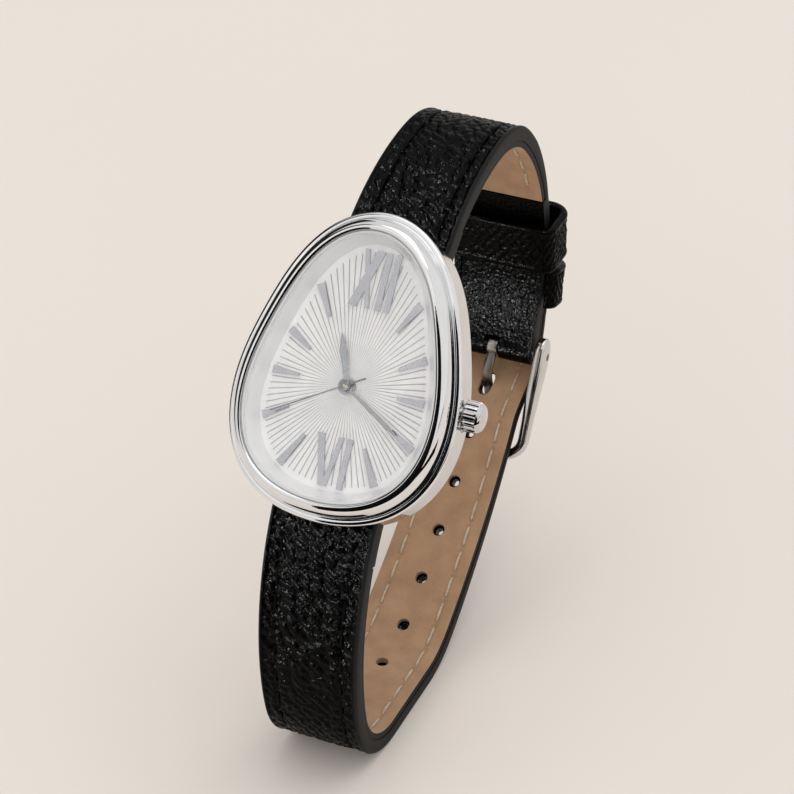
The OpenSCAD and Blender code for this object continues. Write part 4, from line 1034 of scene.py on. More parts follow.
ray_uv = np.vstack([plain_rows, np.tile(ridge, (10, 1)), plain_rows])
ray_uv = np.dstack([ray_uv, np.broadcast_to(np.arange(len(levels))[:, None], ray_uv.shape)])
dial = grid_piece("dial_rayed", np.array(levels), wrap_rows=True, sharp=20, uv=ray_uv)
give(dial, dial_metal)
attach(dial, "watch")
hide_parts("dial")
describe(dial)

# %% [markdown]
# ## Strap leather
# Black leather with an embossed pattern, folded round the bars at the case. Close to the case the hide is
# bent into long wrinkles, and further round the small scales stay sharp. The two looks share one
# function and are mixed by the distance from the nearest end. A picture of leather as a texture would
# be quicker, but it would bring its own light and shadow along. The material adds only what the mesh
# can't hold: pores, a near-black tone with painted shade along the fine creases, and a gloss that wanders.

# %% Leather materials
def leather_material(name, gloss_low, gloss_high):
    mat, tree, bsdf = new_material(name)
    flat = coords(tree, "UV")
    skin = use(tree, hide, Pore_Scale=2.2, Strength=0.3)
    link(tree, flat, skin.inputs["Vector"])
    link(tree, skin.outputs["Normal"], bsdf.inputs["Normal"])
    # Painted shade: the tone is darker along the fine creases that the pores' cells draw
    two_tone(tree, skin.outputs["Crease Shade"], (0.0002, 0.0002, 0.0002), (0.0014, 0.0014, 0.0013),
             bsdf.inputs["Base Color"])
    wander(tree, flat, 1.2, gloss_low, gloss_high, target=bsdf.inputs["Roughness"])
    bsdf.inputs["Specular IOR Level"].default_value = 0.05
    return mat


leather = leather_material("embossed leather", 0.15, 0.34)
keeper_leather = leather_material("keeper leather", 0.18, 0.36)
print(leather.name, "has", len(leather.node_tree.nodes), "nodes")

# %% Edge paint
edge_paint, tree, bsdf = new_material("edge paint")
flat = coords(tree, "UV")
lines = use(tree, streaks, Stretch=(3.4, 0.12, 1.0), Strength=0.5)
link(tree, flat, lines.inputs["Vector"])
link(tree, lines.outputs["Normal"], bsdf.inputs["Normal"])
two_tone(tree, lines.outputs["Value"], (0.003, 0.003, 0.003), (0.026, 0.026, 0.027),
         bsdf.inputs["Base Color"])
bsdf.inputs["Roughness"].default_value = 0.45
bsdf.inputs["Specular IOR Level"].default_value = 0.05
print(edge_paint.name, "has", len(tree.nodes), "nodes")


# Distance from each bar over which the wrinkles change, and the length that the change takes
WRINKLED_12, FADE_12 = 11, 13
WRINKLED_6, FADE_6 = 30, 16


def bent_share(s):
    """How much of the wrinkled look there is at s: most of it at the case, hardly any round the back."""
    from_12 = 1 - smooth((s - WRINKLED_12) / FADE_12)
    from_6 = smooth((s - (WRIST - WRINKLED_6)) / FADE_6)
    return np.clip(np.maximum(from_12, from_6) * 0.8 + 0.08, 0, 1)


def paint_sides(obj, poly, face_mat, side_mat):
    give(obj, face_mat, side_mat)
    obj.data.polygons.foreach_set("material_index", poly.astype(np.int32))


# %% Strap at 12: leather
def end_steps(r, count=9):
    """Distances past a folded end, close together where the fold turns back."""
    return r * np.sin(np.radians(np.linspace(90, 0, count)))


def low_12(s):
    """Underside of the short part: folded at both ends, with a hollow for its lining between."""
    fold_case = END_R - np.sqrt(np.maximum(END_R ** 2 - np.minimum(s, 0) ** 2, 0))
    past = np.maximum(s - HINGE_S, 0)
    fold_hinge = FOLD_R - np.sqrt(np.maximum(FOLD_R ** 2 - past ** 2, 0))
    inside = np.where((s > WRAP_S) & (s <= FLAP_S), HOLLOW, 0.0)
    return np.where(s < 0, fold_case, np.where(s > HINGE_S, fold_hinge, inside))


def high_12(s):
    return np.where(s < 0, 2 * END_R - low_12(s), np.where(s > HINGE_S, 2 * FOLD_R - low_12(s), thick_12(s)))


def flap_pebbles(x, s):
    """Pebbled grain on the wrist side, where the leather itself is turned in behind the keepers."""
    f1, f2, du, dv, tone = cells(x / 0.62 + 3, s / 0.55, 0.9, 51)
    press = 0.05 * (1 - smooth((f2 - f1) / 0.45)) + 0.03 * tone
    return press * smooth((s - FLAP_S - 0.1) / 0.6) * smooth((HINGE_S - s) / 0.8)


def slot_cut(x, sg):
    """The prong's slot, open at the folded end."""
    cx = (x[:-1, :-1] + x[1:, 1:]) / 2
    cs = (sg[:-1, :-1] + sg[1:, 1:]) / 2
    gone = (np.abs(cx) < PRONG_SLOT / 2) & (cs > HINGE_S - SLOT_BACK)
    return gone, x, sg


# Rows of points are STEP mm apart, and a fold ends a hair short of its own edge
STEP, NEARLY = 0.18, 0.995
s_12 = np.concatenate([-end_steps(END_R)[:-1], np.arange(0, WRAP_S, STEP), [WRAP_S, WRAP_S + SEAT],
                       np.arange(WRAP_S + STEP, FLAP_S, STEP), [FLAP_S, FLAP_S + SEAT],
                       np.arange(FLAP_S + STEP, HINGE_S, STEP), HINGE_S + end_steps(FOLD_R * NEARLY)[::-1]])
strap_12, side_poly = strap_piece(
    "strap_12_hide", s_12, width_12, low_12, high_12, cut=slot_cut, under_relief=flap_pebbles,
    relief=lambda x, s: leather_height(x, s, bent_share(s)) + seam_dent(x, s, runs_12))
paint_sides(strap_12, side_poly, leather, edge_paint)
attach(strap_12, "watch")
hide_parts("strap_12_leather")
describe(strap_12)

# %% Strap at 6: leather with its holes
HOLES = [(HOLE_S, HOLE_D / 2 + 0.05, 1.2)]
HOLES += [(HOLE_S + i * HOLE_PITCH, HOLE_D / 2, 0.0) for i in range(1, HOLE_COUNT)]
cut_holes = hole_cut(HOLES)
# The hide closes in a little behind the lining, so a hole looks dark from the wrist side
HIDE_CLOSES = 0.33
HIDE_HOLES = [(HOLE_S, PRONG_WIDTH / 2 + 0.08, 1.1)]
HIDE_HOLES += [(s, r - HIDE_CLOSES, stretch) for s, r, stretch in HOLES[1:]]
cut_hide = hole_cut(HIDE_HOLES)


def low_6(s):
    """Underside of the long part: above its lining, and folded round the bar at 6."""
    past = np.maximum(s - WRIST, 0)
    fold = END_R - np.sqrt(np.maximum(END_R ** 2 - past ** 2, 0))
    return np.where(s > WRIST, fold, np.where(s > WRIST - WRAP_S, 0.0, lift(s) + HOLLOW))


def high_6(s):
    return np.where(s > WRIST, 2 * END_R - low_6(s), lift(s) + thick_6(s))


s_6 = np.concatenate([TAIL_S + np.linspace(0, 1, 12)[:-1] ** 1.6,
                      np.arange(TAIL_S + 1, WRIST - WRAP_S, STEP),
                      [WRIST - WRAP_S, WRIST - WRAP_S + SEAT], np.arange(WRIST - WRAP_S + STEP, WRIST, STEP),
                      WRIST + end_steps(END_R * NEARLY)[::-1]])
strap_6, side_poly = strap_piece(
    "strap_6_hide", s_6, width_6, low_6, high_6, cut=cut_hide,
    relief=lambda x, s: leather_height(x, s, bent_share(s)) + seam_dent(x, s, runs_6))
paint_sides(strap_6, side_poly, leather, edge_paint)
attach(strap_6, "watch")
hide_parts("strap_6_leather")
describe(strap_6)

# %% [markdown]
# ## Lining
# Tan nubuck: a dull, slightly fibrous face with fine lines across it, cut 0.1 mm shy of the leather's
# edge on each side. It is a skin of its own and not a second colour on the leather, because the real
# one is glued in and ends short of the bars. The beige thread of the seam shows as short dashes.

# %% Lining material
suede, tree, bsdf = new_material("tan nubuck")
flat = coords(tree, "UV")
fibres = use(tree, streaks, Stretch=(2.2, 7.5, 1.0), Strength=0.5)
link(tree, flat, fibres.inputs["Vector"])
blend = add(tree, "ShaderNodeMath", operation="MULTIPLY_ADD")
blend.inputs[1].default_value = 0.55
link(tree, fibres.outputs["Value"], blend.inputs[0])
halved = add(tree, "ShaderNodeMath", operation="MULTIPLY")
halved.inputs[1].default_value = 0.45
wander(tree, flat, 0.35, target=halved.inputs[0])
link(tree, halved.outputs["Value"], blend.inputs[2])
two_tone(tree, blend.outputs["Value"], (0.29, 0.165, 0.088), (0.52, 0.325, 0.185), bsdf.inputs["Base Color"])
link(tree, fibres.outputs["Normal"], bsdf.inputs["Normal"])
bsdf.inputs["Roughness"].default_value = 0.85
bsdf.inputs["Sheen Weight"].default_value = 0.15
bsdf.inputs["Sheen Roughness"].default_value = 0.5
print(suede.name, "has", len(tree.nodes), "nodes")

# %% Lining of the strap at 12
s_lining = np.arange(WRAP_S + 0.12, FLAP_S - 0.08, STEP)
lining_12, side_poly = strap_piece(
    "lining_12", s_lining, lambda s: width_12(s) - 0.2, lambda s: 0 * s, lambda s: 0 * s + LINING,
    under_relief=lambda x, s: -seam_dent(x, s, runs_12_in), edge_round=0.05, swell=0.0)
paint_sides(lining_12, side_poly, suede, edge_paint)
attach(lining_12, "watch")
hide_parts("strap_12_lining")
describe(lining_12)

# %% Lining of the strap at 6
s_lining = np.concatenate([TAIL_S + 0.1 + np.linspace(0, 0.9, 8)[:-1],
                           np.arange(TAIL_S + 1, WRIST - WRAP_S - 0.1, STEP)])
lining_6, side_poly = strap_piece(
    "lining_6", s_lining, lambda s: width_6(s) - 0.2, lift, lambda s: lift(s) + LINING, cut=cut_holes,
    under_relief=lambda x, s: -seam_dent(x, s, runs_6_in), edge_round=0.05, swell=0.0)
paint_sides(lining_6, side_poly, suede, edge_paint)
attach(lining_6, "watch")
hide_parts("strap_6_lining")
describe(lining_6)

# %% Threads
black_thread = plain("black thread", (0.002, 0.002, 0.002), (0.008, 0.008, 0.008), (0.45, 0.6), scale=2500.0,
                     grain_strength=0.6, grain_scale=9000.0)
beige_thread = plain("beige thread", (0.42, 0.33, 0.24), (0.62, 0.52, 0.40), (0.6, 0.75), scale=2500.0,
                     grain_strength=0.6, grain_scale=9000.0)
black_thread.node_tree.nodes["Principled BSDF"].inputs["Specular IOR Level"].default_value = 0.03
THREAD_R, SUNK, SUNK_IN = 0.15, 0.17, 0.03
outside_12 = thread_piece("thread_12", [q for r in runs_12 for q in r],
                          lambda s: float(thick_12(s)) - SUNK, THREAD_R)
outside_6 = thread_piece("thread_6", runs_6[0], lambda s: float(lift(s) + thick_6(s)) - SUNK, THREAD_R)
inside_12 = thread_piece("thread_12_inside", [q for r in runs_12_in for q in r],
                         lambda s: SUNK_IN, THREAD_R, outward=-1.0)
inside_6 = thread_piece("thread_6_inside", runs_6_in[0],
                        lambda s: float(lift(s)) + SUNK_IN, THREAD_R, outward=-1.0)
for piece, mat in ((outside_12, black_thread), (outside_6, black_thread), (inside_12, beige_thread),
                   (inside_6, beige_thread)):
    give(piece, mat)
    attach(piece, "watch")
    describe(piece)

# %% [markdown]
# ## Keepers
# Two leather loops hold the long strap's tail. Each is a band of embossed leather with rolled edges,
# bent to a rounded D that stands well clear of the layers it holds. A ribbon with a solidify modifier
# would have square edges, so here a rounded section is led round the loop. The fixed keeper comes out
# from between the layers, so it has no inner side.

# %% Keeper outline
KEEPER_HALF = END_WIDTH / 2 + 0.8
KEEPER_TOP = END_THICK + TAIL_GAP + TAIL_THICK + 0.6
KEEPER_LOW, FIXED_LOW = -0.9, 0.9
KEEPER_CORNER, KEEPER_EDGE = 2.6, 1.3
ARC = 14


def keeper_loop(half, low, high, r, top_r):
    """Closed outline of the loop in (x, n), starting at the middle of the wrist side."""
    def arc(cx, cy, radius, a0, a1):
        t = np.radians(np.linspace(a0, a1, ARC))
        return np.stack([cx + radius * np.cos(t), cy + radius * np.sin(t)], -1)
    bottom = np.linspace(0, 1, 20)[:-1, None]
    side = np.linspace(0, 1, 10)[1:-1, None]
    roof = np.linspace(0, 1, 40)[1:-1, None]
    p0, p1 = np.array([0, low]), np.array([half - r, low])
    q0, q1 = np.array([half, low + r]), np.array([half, high - top_r])
    t0, t1 = np.array([half - top_r, high]), np.array([-half + top_r, high])
    right = [p0 + (p1 - p0) * bottom, arc(half - r, low + r, r, -90, 0), q0 + (q1 - q0) * side,
             arc(half - top_r, high - top_r, top_r, 0, 90)]
    half_loop = np.vstack(right)
    mirror = half_loop[::-1] * np.array([-1, 1])
    return np.vstack([half_loop, t0 + (t1 - t0) * roof, mirror[:-1]])


def keeper_loops(low, floor_thick):
    """Outer and inner outline of a keeper whose wrist side is at low."""
    top = KEEPER_TOP + KEEPER_THICK
    out = keeper_loop(KEEPER_HALF + KEEPER_THICK, low - floor_thick, top, KEEPER_EDGE, KEEPER_CORNER)
    return out, keeper_loop(KEEPER_HALF, low, KEEPER_TOP, KEEPER_EDGE / 2, KEEPER_CORNER * 2 / 3)


print("keeper opening:", round(2 * KEEPER_HALF, 2), "x", round(KEEPER_TOP - KEEPER_LOW, 2), "mm")

# %% Keeper band
EDGE_ROLL = 0.42


def keeper_piece(name, middle_s, band_width, out, inn, closed=True):
    """Band from the inner loop to the outer one, with a rounded section and embossing outside."""
    depth = out - inn
    thick = np.linalg.norm(depth, axis=1, keepdims=True)
    half = band_width / 2
    corner = np.radians(np.linspace(0, 90, 6))
    sec = [(half - EDGE_ROLL + EDGE_ROLL * math.cos(t), 1 - EDGE_ROLL + EDGE_ROLL * math.sin(t))
           for t in corner]
    face = [(x, 1.0) for x in np.linspace(half - EDGE_ROLL, -half + EDGE_ROLL, 36)[1:-1]]
    left = [(-a, b) for a, b in reversed(sec)]
    back = [(-half, 0.3), (-half + 0.12, 0.05), (-half + 0.3, 0.0)]
    back += [(-a, b) for a, b in reversed(back)]
    section = np.array(sec + face + left + back)
    run = np.r_[0, np.cumsum(np.linalg.norm(np.diff(out, axis=0), axis=1))]
    along, share = section[:, 0], section[:, 1]
    gx = inn[:, None, 0] + depth[:, None, 0] * share
    gn = inn[:, None, 1] + depth[:, None, 1] * share
    rg, ag = np.broadcast_arrays(run[:, None], along[None, :])
    a, b = (rg + 0.7 * ag) / 0.95, (rg - 0.7 * ag) / 0.95
    f1, f2, du, dv, tone = cells(a, b, 0.3, 17)
    weave = np.where(tone > 0.5, du, dv)
    press = -0.2 * (1 - smooth((f2 - f1) / 0.32)) - 0.14 * np.clip(0.5 + weave, 0, 1)
    press = press - 0.04 * value_noise(rg / 0.3, ag / 0.3, 41)
    press = press * (share[None, :] > 0.99) * smooth((half - EDGE_ROLL - np.abs(ag)) / 0.4)
    unit = depth / thick
    gx = gx + unit[:, None, 0] * press
    gn = gn + unit[:, None, 1] * press
    centre = rise(middle_s, 0.0)
    up = rise(middle_s, 1.0) - centre
    way = np.array([up[1], -up[0]])
    yz = centre + gn[..., None] * up + ag[..., None] * way
    grid = np.dstack([gx, yz])
    return grid_piece(name, grid, wrap_rows=closed, caps=not closed, uv=np.dstack([rg, ag]))


# %% Loose keeper
LOOSE_FLOOR, FIXED_FLOOR = 0.7, 0.6
loop_out, loop_in = keeper_loops(KEEPER_LOW, LOOSE_FLOOR * KEEPER_THICK)
loose = keeper_piece("keeper_loose_hide", LOOSE_S, KEEPER_WIDTH, loop_out, loop_in)
give(loose, keeper_leather)
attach(loose, "slider")
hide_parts("loose_keeper")
describe(loose)

# %% Fixed keeper
loop_out, loop_in = keeper_loops(FIXED_LOW, FIXED_FLOOR * KEEPER_THICK)
strap_half = float(width_12(np.array(FIXED_S - FIXED_WIDTH / 2))) / 2 + 3 * SEAT
beside = np.argwhere(np.abs(loop_out[:, 0]) > strap_half).ravel()
first = beside[loop_out[beside, 0] > 0][0]
last = beside[loop_out[beside, 0] < 0][-1] + 1
loop_out, loop_in = loop_out[first:last], loop_in[first:last]
turned_in = (loop_in[:, 1] < FIXED_LOW + KEEPER_THICK) & (np.abs(loop_in[:, 0]) < strap_half)
loop_in[turned_in, 0] = strap_half * np.sign(loop_out[turned_in, 0])
fixed = keeper_piece("keeper_fixed_hide", FIXED_S, FIXED_WIDTH, loop_out, loop_in, closed=False)
give(fixed, keeper_leather)
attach(fixed, "watch")
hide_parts("fixed_keeper")
describe(fixed)

# %% [markdown]
# ## Buckle frame
# Cast, tumbled and plated. Each arm is one bar, widest and deepest round its pin, which tapers to the
# corner, and the bowed front carries the prong's tip. Joined boxes with bevels would show seams at the
# corners. A rounded section swept along one path gives all of it in one skin, and the pin's hole is
# then cut through both arms.

# %% Place of the buckle
ARM_IN = END_WIDTH / 2 + 0.25
FRONT_MID = ARM_IN + ARM_WIDTH / 2
BOW, CORNER, FRONT_GAP = 1.04, 0.8, 1.0
front_s = HINGE_S + BUCKLE_LENGTH
hinge = rise(HINGE_S, FOLD_R)
front = rise(front_s, float(thick_6(front_s)) + FRONT_GAP + ARM_DEPTH / 2)
REACH = float(np.linalg.norm(front - hinge))
buckle_way = (front - hinge) / REACH
buckle_up = np.array([-buckle_way[1], buckle_way[0]])


print("buckle reach", round(REACH, 2), "mm")


def on_buckle(along, up):
    """Points of the buckle's middle plane: along from its pin to its front, and up from there."""
    return hinge + along[..., None] * buckle_way + up[..., None] * buckle_up


def rounded_box(steps, power):
    """Outline between a circle, at power 1, and a square, as two arrays from -1 to 1."""
    q = np.linspace(0, 2 * math.pi, steps, endpoint=False)
    across = np.sign(np.cos(q)) * np.abs(np.cos(q)) ** power
    return across, np.sign(np.sin(q)) * np.abs(np.sin(q)) ** power


# %% Path round the buckle
def taper(y):
    """From 1 at the pin to 0 at the corner."""
    return 1 - smooth(y / REACH / CORNER)


back_turn = np.sin(np.radians(np.linspace(88, 0, 16)))
arm_y = np.concatenate([-ARM_BACK * back_turn, np.linspace(0, REACH * CORNER, 30)[1:]])
arm = np.stack([ARM_IN + (EYE_WIDTH - ARM_WIDTH) / 2 * taper(arm_y) + ARM_WIDTH / 2, arm_y], -1)
bow_turn = np.radians(np.linspace(4, 176, 72))
bow = np.stack([FRONT_MID * np.sign(np.cos(bow_turn)) * np.abs(np.cos(bow_turn)) ** 0.55,
                REACH * (CORNER + (BOW - CORNER) * np.sin(bow_turn) ** 0.7)], -1)
centre = np.vstack([arm, bow, arm[::-1] * [-1, 1]])
# The corners between arm and bow are rounded off, while the ends of the arms stay firm
firm = 14
for _ in range(4):
    middle = centre[firm + 1:-firm - 1]
    centre[firm + 1:-firm - 1] = middle * 0.5 + (centre[firm:-firm - 2] + centre[firm + 2:-firm]) * 0.25
print("points on the path:", len(centre))

# %% Buckle section
tangent = np.gradient(centre, axis=0)
tangent /= np.linalg.norm(tangent, axis=1, keepdims=True)
tangent[:firm], tangent[-firm:] = [0, 1], [0, -1]
side = np.stack([tangent[:, 1], -tangent[:, 0]], -1)
round_end = np.sqrt(np.maximum(0.004, 1 - np.maximum(0, -centre[:, 1] / ARM_BACK) ** 2.4))
wide = (ARM_WIDTH + (EYE_WIDTH - ARM_WIDTH) * taper(centre[:, 1])) * (0.4 + 0.6 * round_end)
deep = (ARM_DEPTH + (EYE_DEPTH - ARM_DEPTH) * taper(centre[:, 1])) * round_end
u, v = rounded_box(40, 0.7)
gx = centre[:, None, 0] + side[:, None, 0] * (u / 2) * wide[:, None]
gw = centre[:, None, 1] + side[:, None, 1] * (u / 2) * wide[:, None]
gu = deep[:, None] * (v / 2)[None, :]
buckle = grid_piece("buckle_cast", np.dstack([gx, on_buckle(gw, gu)]), caps=True, sharp=60)
print("arm", round(float(wide.max()), 2), "mm wide and", round(float(deep.max()), 2), "mm deep at its eye")


# %% Pin holes in the buckle
DRILL_HALF, BAR_TIP_HOLE = 9.0, 0.43


def bored(obj, radius):
    """Cuts a round hole along X through both arms at the hinge."""
    t = np.linspace(0, 2 * math.pi, 32, endpoint=False)
    ring_yz = hinge + radius * np.stack([np.cos(t), np.sin(t)], -1)
    grid = np.array([np.column_stack([np.full(32, x), ring_yz]) for x in (-DRILL_HALF, DRILL_HALF)])
    drill = grid_piece("drill", grid, caps=True)
    mod = obj.modifiers.new("hole", "BOOLEAN")
    mod.operation = "DIFFERENCE"
    mod.object = drill
    bpy.context.view_layer.update()
    cut_mesh = bpy.data.meshes.new_from_object(obj.evaluated_get(bpy.context.evaluated_depsgraph_get()))
    obj.modifiers.clear()
    obj.data = cut_mesh
    obj.data.set_sharp_from_angle(angle=math.radians(45))
    bpy.data.objects.remove(drill)


bored(buckle, BAR_TIP_HOLE)
give(buckle, buckle_metal)
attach(buckle, "buckle")
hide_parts("buckle_frame")
describe(buckle)

# %% [markdown]
# ## Prong
# Bent from flat bar: a barrel that turns on the sprung bar and a blade with rounded edges that dives
# under the strap, comes up through the hole in use and rests on the frame's front. The blade is one
# section led along a spline through the few places that it has to pass, and the barrel is turned.

# %% Blade of the prong
blade = spline([(0, 0), (1.4, -0.55), (2.6, -0.8), (3.6, -0.55), (4.6, 0.3), (5.6, 1.2), (6.6, 1.75),
                (7.8, 2.05), (BOW * REACH + 0.3, ARM_DEPTH / 2 + 0.12 + PRONG_THICK / 2)], 8)[3:]
way = np.gradient(blade, axis=0)
way /= np.linalg.norm(way, axis=1, keepdims=True)
u, v = rounded_box(24, 0.8)
u = u * PRONG_WIDTH / 2
v = v * PRONG_THICK / 2
slim = np.ones(len(blade))
slim[-3:] = [0.94, 0.8, 0.5]
gx = u[None, :] * slim[:, None]
gw = blade[:, None, 0] - way[:, None, 1] * v * slim[:, None]
gu = blade[:, None, 1] + way[:, None, 0] * v * slim[:, None]
prong = grid_piece("prong_blade", np.dstack([gx, on_buckle(gw, gu)]), caps=True)
print("blade length:", round(float(np.linalg.norm(np.diff(blade, axis=0), axis=1).sum()), 2), "mm")

# %% Barrel of the prong
barrel_half, barrel_r = PRONG_WIDTH / 2 + 0.1, PIN_R + 0.45
barrel = [(PIN_R + 0.03, -barrel_half + 0.1), (PIN_R + 0.2, -barrel_half)]
barrel += [(barrel_r - 0.25 + 0.25 * math.sin(t), -barrel_half + 0.25 - 0.25 * math.cos(t))
           for t in np.radians([15, 40, 65, 90])]
barrel += [(r, -x) for r, x in reversed(barrel)]
barrel = np.array(barrel)
t = np.linspace(0, 2 * math.pi, 64, endpoint=False)
gx = np.broadcast_to(barrel[:, 1], (64, len(barrel)))
off = barrel[None, :, 0, None] * np.stack([np.cos(t), np.sin(t)], -1)[:, None, :]
knob = grid_piece("prong_barrel", np.dstack([gx, on_buckle(off[..., 0], off[..., 1])]),
                  wrap_rows=True, sharp=60)
give(prong, blade_painted_reflection)
give(knob, prong_metal)
for piece in (prong, knob):
    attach(piece, "prong")
    describe(piece)
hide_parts("buckle_prong")

# %% [markdown]
# ## Crown
# Turned and milled from bar, then polished: a domed end and deep flutes that the fingers grip. The
# flutes could be cut by booleans, which leave thin slivers on a dome. Here they are drawn into one
# smooth surface of revolution, so that each land keeps its own bright line.

# %% Crown profile
CROWN_X = CASE_WIDTH / 2 - 0.25
CROWN_R, CAP_X = CROWN_D / 2, CROWN_LENGTH - CROWN_DOME
profile = [(0.03, CROWN_R - 0.6), (0.03, CROWN_R - 0.25), (0.08, CROWN_R - 0.1), (0.2, CROWN_R - 0.01)]
profile += [(x, CROWN_R) for x in np.linspace(0.3, CAP_X - 0.12, 8)]
dome = spline([(CAP_X - 0.05, CROWN_R - 0.03), (CAP_X + CROWN_DOME * 0.2, CROWN_R - 0.14),
               (CAP_X + CROWN_DOME * 0.5, CROWN_R * 0.82), (CAP_X + CROWN_DOME * 0.75, CROWN_R * 0.64),
               (CAP_X + CROWN_DOME * 0.94, CROWN_R * 0.34), (CROWN_LENGTH - 0.005, 0.02)], 6)
profile = np.array(profile + dome.tolist())
print("crown profile:", len(profile), "points")

# %% Crown with its flutes
turn = np.arange(CROWN_FLUTES * 20) * 2 * math.pi / (CROWN_FLUTES * 20)
apart = 1 - np.abs((np.arange(CROWN_FLUTES * 20) % 20) - 10) / 10
groove = 0.15 * np.sqrt(np.maximum(0, 1 - (apart / 0.62) ** 2))
milled = smooth((CAP_X + 0.06 - profile[:, 0]) / 0.12)
radius = profile[:, 1][:, None] - milled[:, None] * groove[None, :] * (profile[:, 1] > 0.5)[:, None]
local = np.dstack([CROWN_X + np.broadcast_to(profile[:, :1], radius.shape), radius * np.sin(turn),
                   -CROWN_DEPTH + radius * np.cos(turn)])
crown = grid_piece("crown_fluted", local, caps=True, sharp=50)
give(crown, crown_metal)
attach(crown, "winding")
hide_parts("crown")
describe(crown)

# %% [markdown]
# ## The pieces kept from the solids
# Everything else is shown as it was packed. Plain shapes need only a true material, smooth shading
# across their curves, and a hair of bevel where a polished edge would glint. On markers and hands the
# bevel is dark instead: painted shade along their cut sides, which draws a thin line round each.

# %% Finishes of the kept solids
KEPT = {
    "case_body": flank, "crystal_gasket": clear_seal, "hour_markers": applied, "roman_numerals": applied,
    "hour_hand": hand_metal, "minute_hand": hand_metal, "second_hand": dark_hand,
    "movement_holder": white_plastic, "main_plate": brass, "circuit_board": board, "coil": copper,
    "battery": steel, "battery_clamp": steel, "hour_wheel": brass, "cannon_pinion": brass,
    "seconds_wheel": brass, "train_bridge": steel, "setting_lever": steel, "stem": steel,
    "crown_tube": steel, "crown_gasket": rubber, "case_back": satin, "back_gasket": rubber,
    "spring_bar_12": steel, "spring_bar_6": steel, "buckle_bar": steel,
}
for name, mat in KEPT.items():
    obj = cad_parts[name]
    give(obj, mat)
    obj.data.shade_smooth()
    obj.data.set_sharp_from_angle(angle=math.radians(32))
print("pieces kept from the solids:", len(KEPT))

# %% Materials of the solids behind the dressed pieces
for name in ("bezel", "crystal", "dial_ring", "dial"):
    give(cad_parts[name], chrome if name == "bezel" else ring_satin)
for name in ("strap_12_leather", "strap_6_leather", "loose_keeper", "fixed_keeper"):
    give(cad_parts[name], leather)
for name in ("strap_12_lining", "strap_6_lining"):
    give(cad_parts[name], suede)
for name in ("buckle_frame", "buckle_prong", "crown"):
    give(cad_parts[name], chrome)
print("nodes with a material:", sum(len(obj.data.materials) > 0 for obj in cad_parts.values()))

# %% Bevels in millimetres
BEVELS = {"hour_markers": 0.1, "roman_numerals": 0.09, "hour_hand": 0.05, "minute_hand": 0.05,
          "case_back": 0.04, "case_body": 0.12}
for name, width in BEVELS.items():
    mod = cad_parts[name].modifiers.new("bevel", "BEVEL")
    mod.width = width / 1000
    mod.segments = 2
    mod.limit_method = "ANGLE"
    mod.angle_limit = math.radians(35)
    # Markers and hands take the painted shade on their bevel faces
    if name not in ("case_back", "case_body"):
        give(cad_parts[name], KEPT[name], painted_shade_edge)
        mod.material = 1
print("bevelled:", ", ".join(BEVELS))

# %% [markdown]
# ## Studio
# A pale sheet of paper lies under everything, in a bright even room, with one large soft lamp far
# overhead and a weaker one in front. The polished rings would look dull in an even room, so cards stand
# where the rings look: dark ones give the black bands and glowing ones the white bands. The camera and
# the matt pieces don't see them, only reflections do. Four very small lamps draw the pin-sharp glints
# on the embossing. They are linked to the leather alone, because through the crystal they would wash
# out the dial. One sky picture could light it all, but then no reflection could be moved by itself.

# %% Floor
paper, tree, bsdf = new_material("warm paper")
where = coords(tree)
two_tone(tree, wander(tree, where, 6.0), (0.838, 0.774, 0.716), (0.858, 0.794, 0.734),
         bsdf.inputs["Base Color"])
add_grain(tree, where, bsdf, 900.0, 0.05)
bsdf.inputs["Roughness"].default_value = 0.9
FLOOR_HALF = 3.0
floor = finish_mesh("paper", [(-FLOOR_HALF, -FLOOR_HALF, 0), (FLOOR_HALF, -FLOOR_HALF, 0),
                              (FLOOR_HALF, FLOOR_HALF, 0), (-FLOOR_HALF, FLOOR_HALF, 0)], [[0, 1, 2, 3]],
                    flip_check=False)
give(floor, paper)
floor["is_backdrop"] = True
print("paper:", 2 * FLOOR_HALF, "m square")

# %% [markdown]
# ## Camera
# The watch was photographed from above and from the crown's side. Place, turn and lens come from a
# least-squares fit, not from the eye: points on the strap's edges, the strap's holes and the dial's
# markers were read off the photograph, and the strap's width at the case, taken as 12 mm, gave the
# scale. So picture and model can be laid over each other. The lens is long and the view nearly parallel.

# %% Camera
LENS, LOOKS_DOWN, LOOKS_LEFT = 128.28, 32.83, 24.07
camera = bpy.data.cameras.new("camera")
camera.sensor_width = 36
camera.lens = LENS
camera.clip_start = 0.01
eye = bpy.data.objects.new("camera", camera)
eye.location = (0.1054868, -0.2280191, 0.2026902)
eye.rotation_euler = (math.radians(90 - LOOKS_DOWN), 0, math.radians(LOOKS_LEFT))
bpy.context.scene.collection.objects.link(eye)
bpy.context.scene.camera = eye
print("camera", round(eye.location.length, 3), "m from the origin, looking", LOOKS_DOWN, "degrees down")

# %% [markdown]
# ## Lamps, room and cards
# The room itself gives most of the light, so shadows stay soft and pale. The lamp overhead adds the
# gentle shadow under the strap, and the one in front lifts the dial. The far cards have their corners
# given as directions from the watch, because what counts for a reflection is where a card stands in
# the ring's view. The two dark cards close to the watch are set in metres, clear of it and the floor.

# %% Lamps
LOOK_AT = Vector((0, 0.015, 0.03))


def area(name, place, size, power, color=(1, 1, 1)):
    lamp = bpy.data.lights.new(name, "AREA")
    lamp.shape = "RECTANGLE"
    lamp.size, lamp.size_y = size
    lamp.energy = power
    lamp.color = color
    obj = bpy.data.objects.new(name, lamp)
    obj.location = place
    obj.rotation_euler = (LOOK_AT - Vector(place)).to_track_quat("-Z", "Y").to_euler()
    bpy.context.scene.collection.objects.link(obj)
    return obj


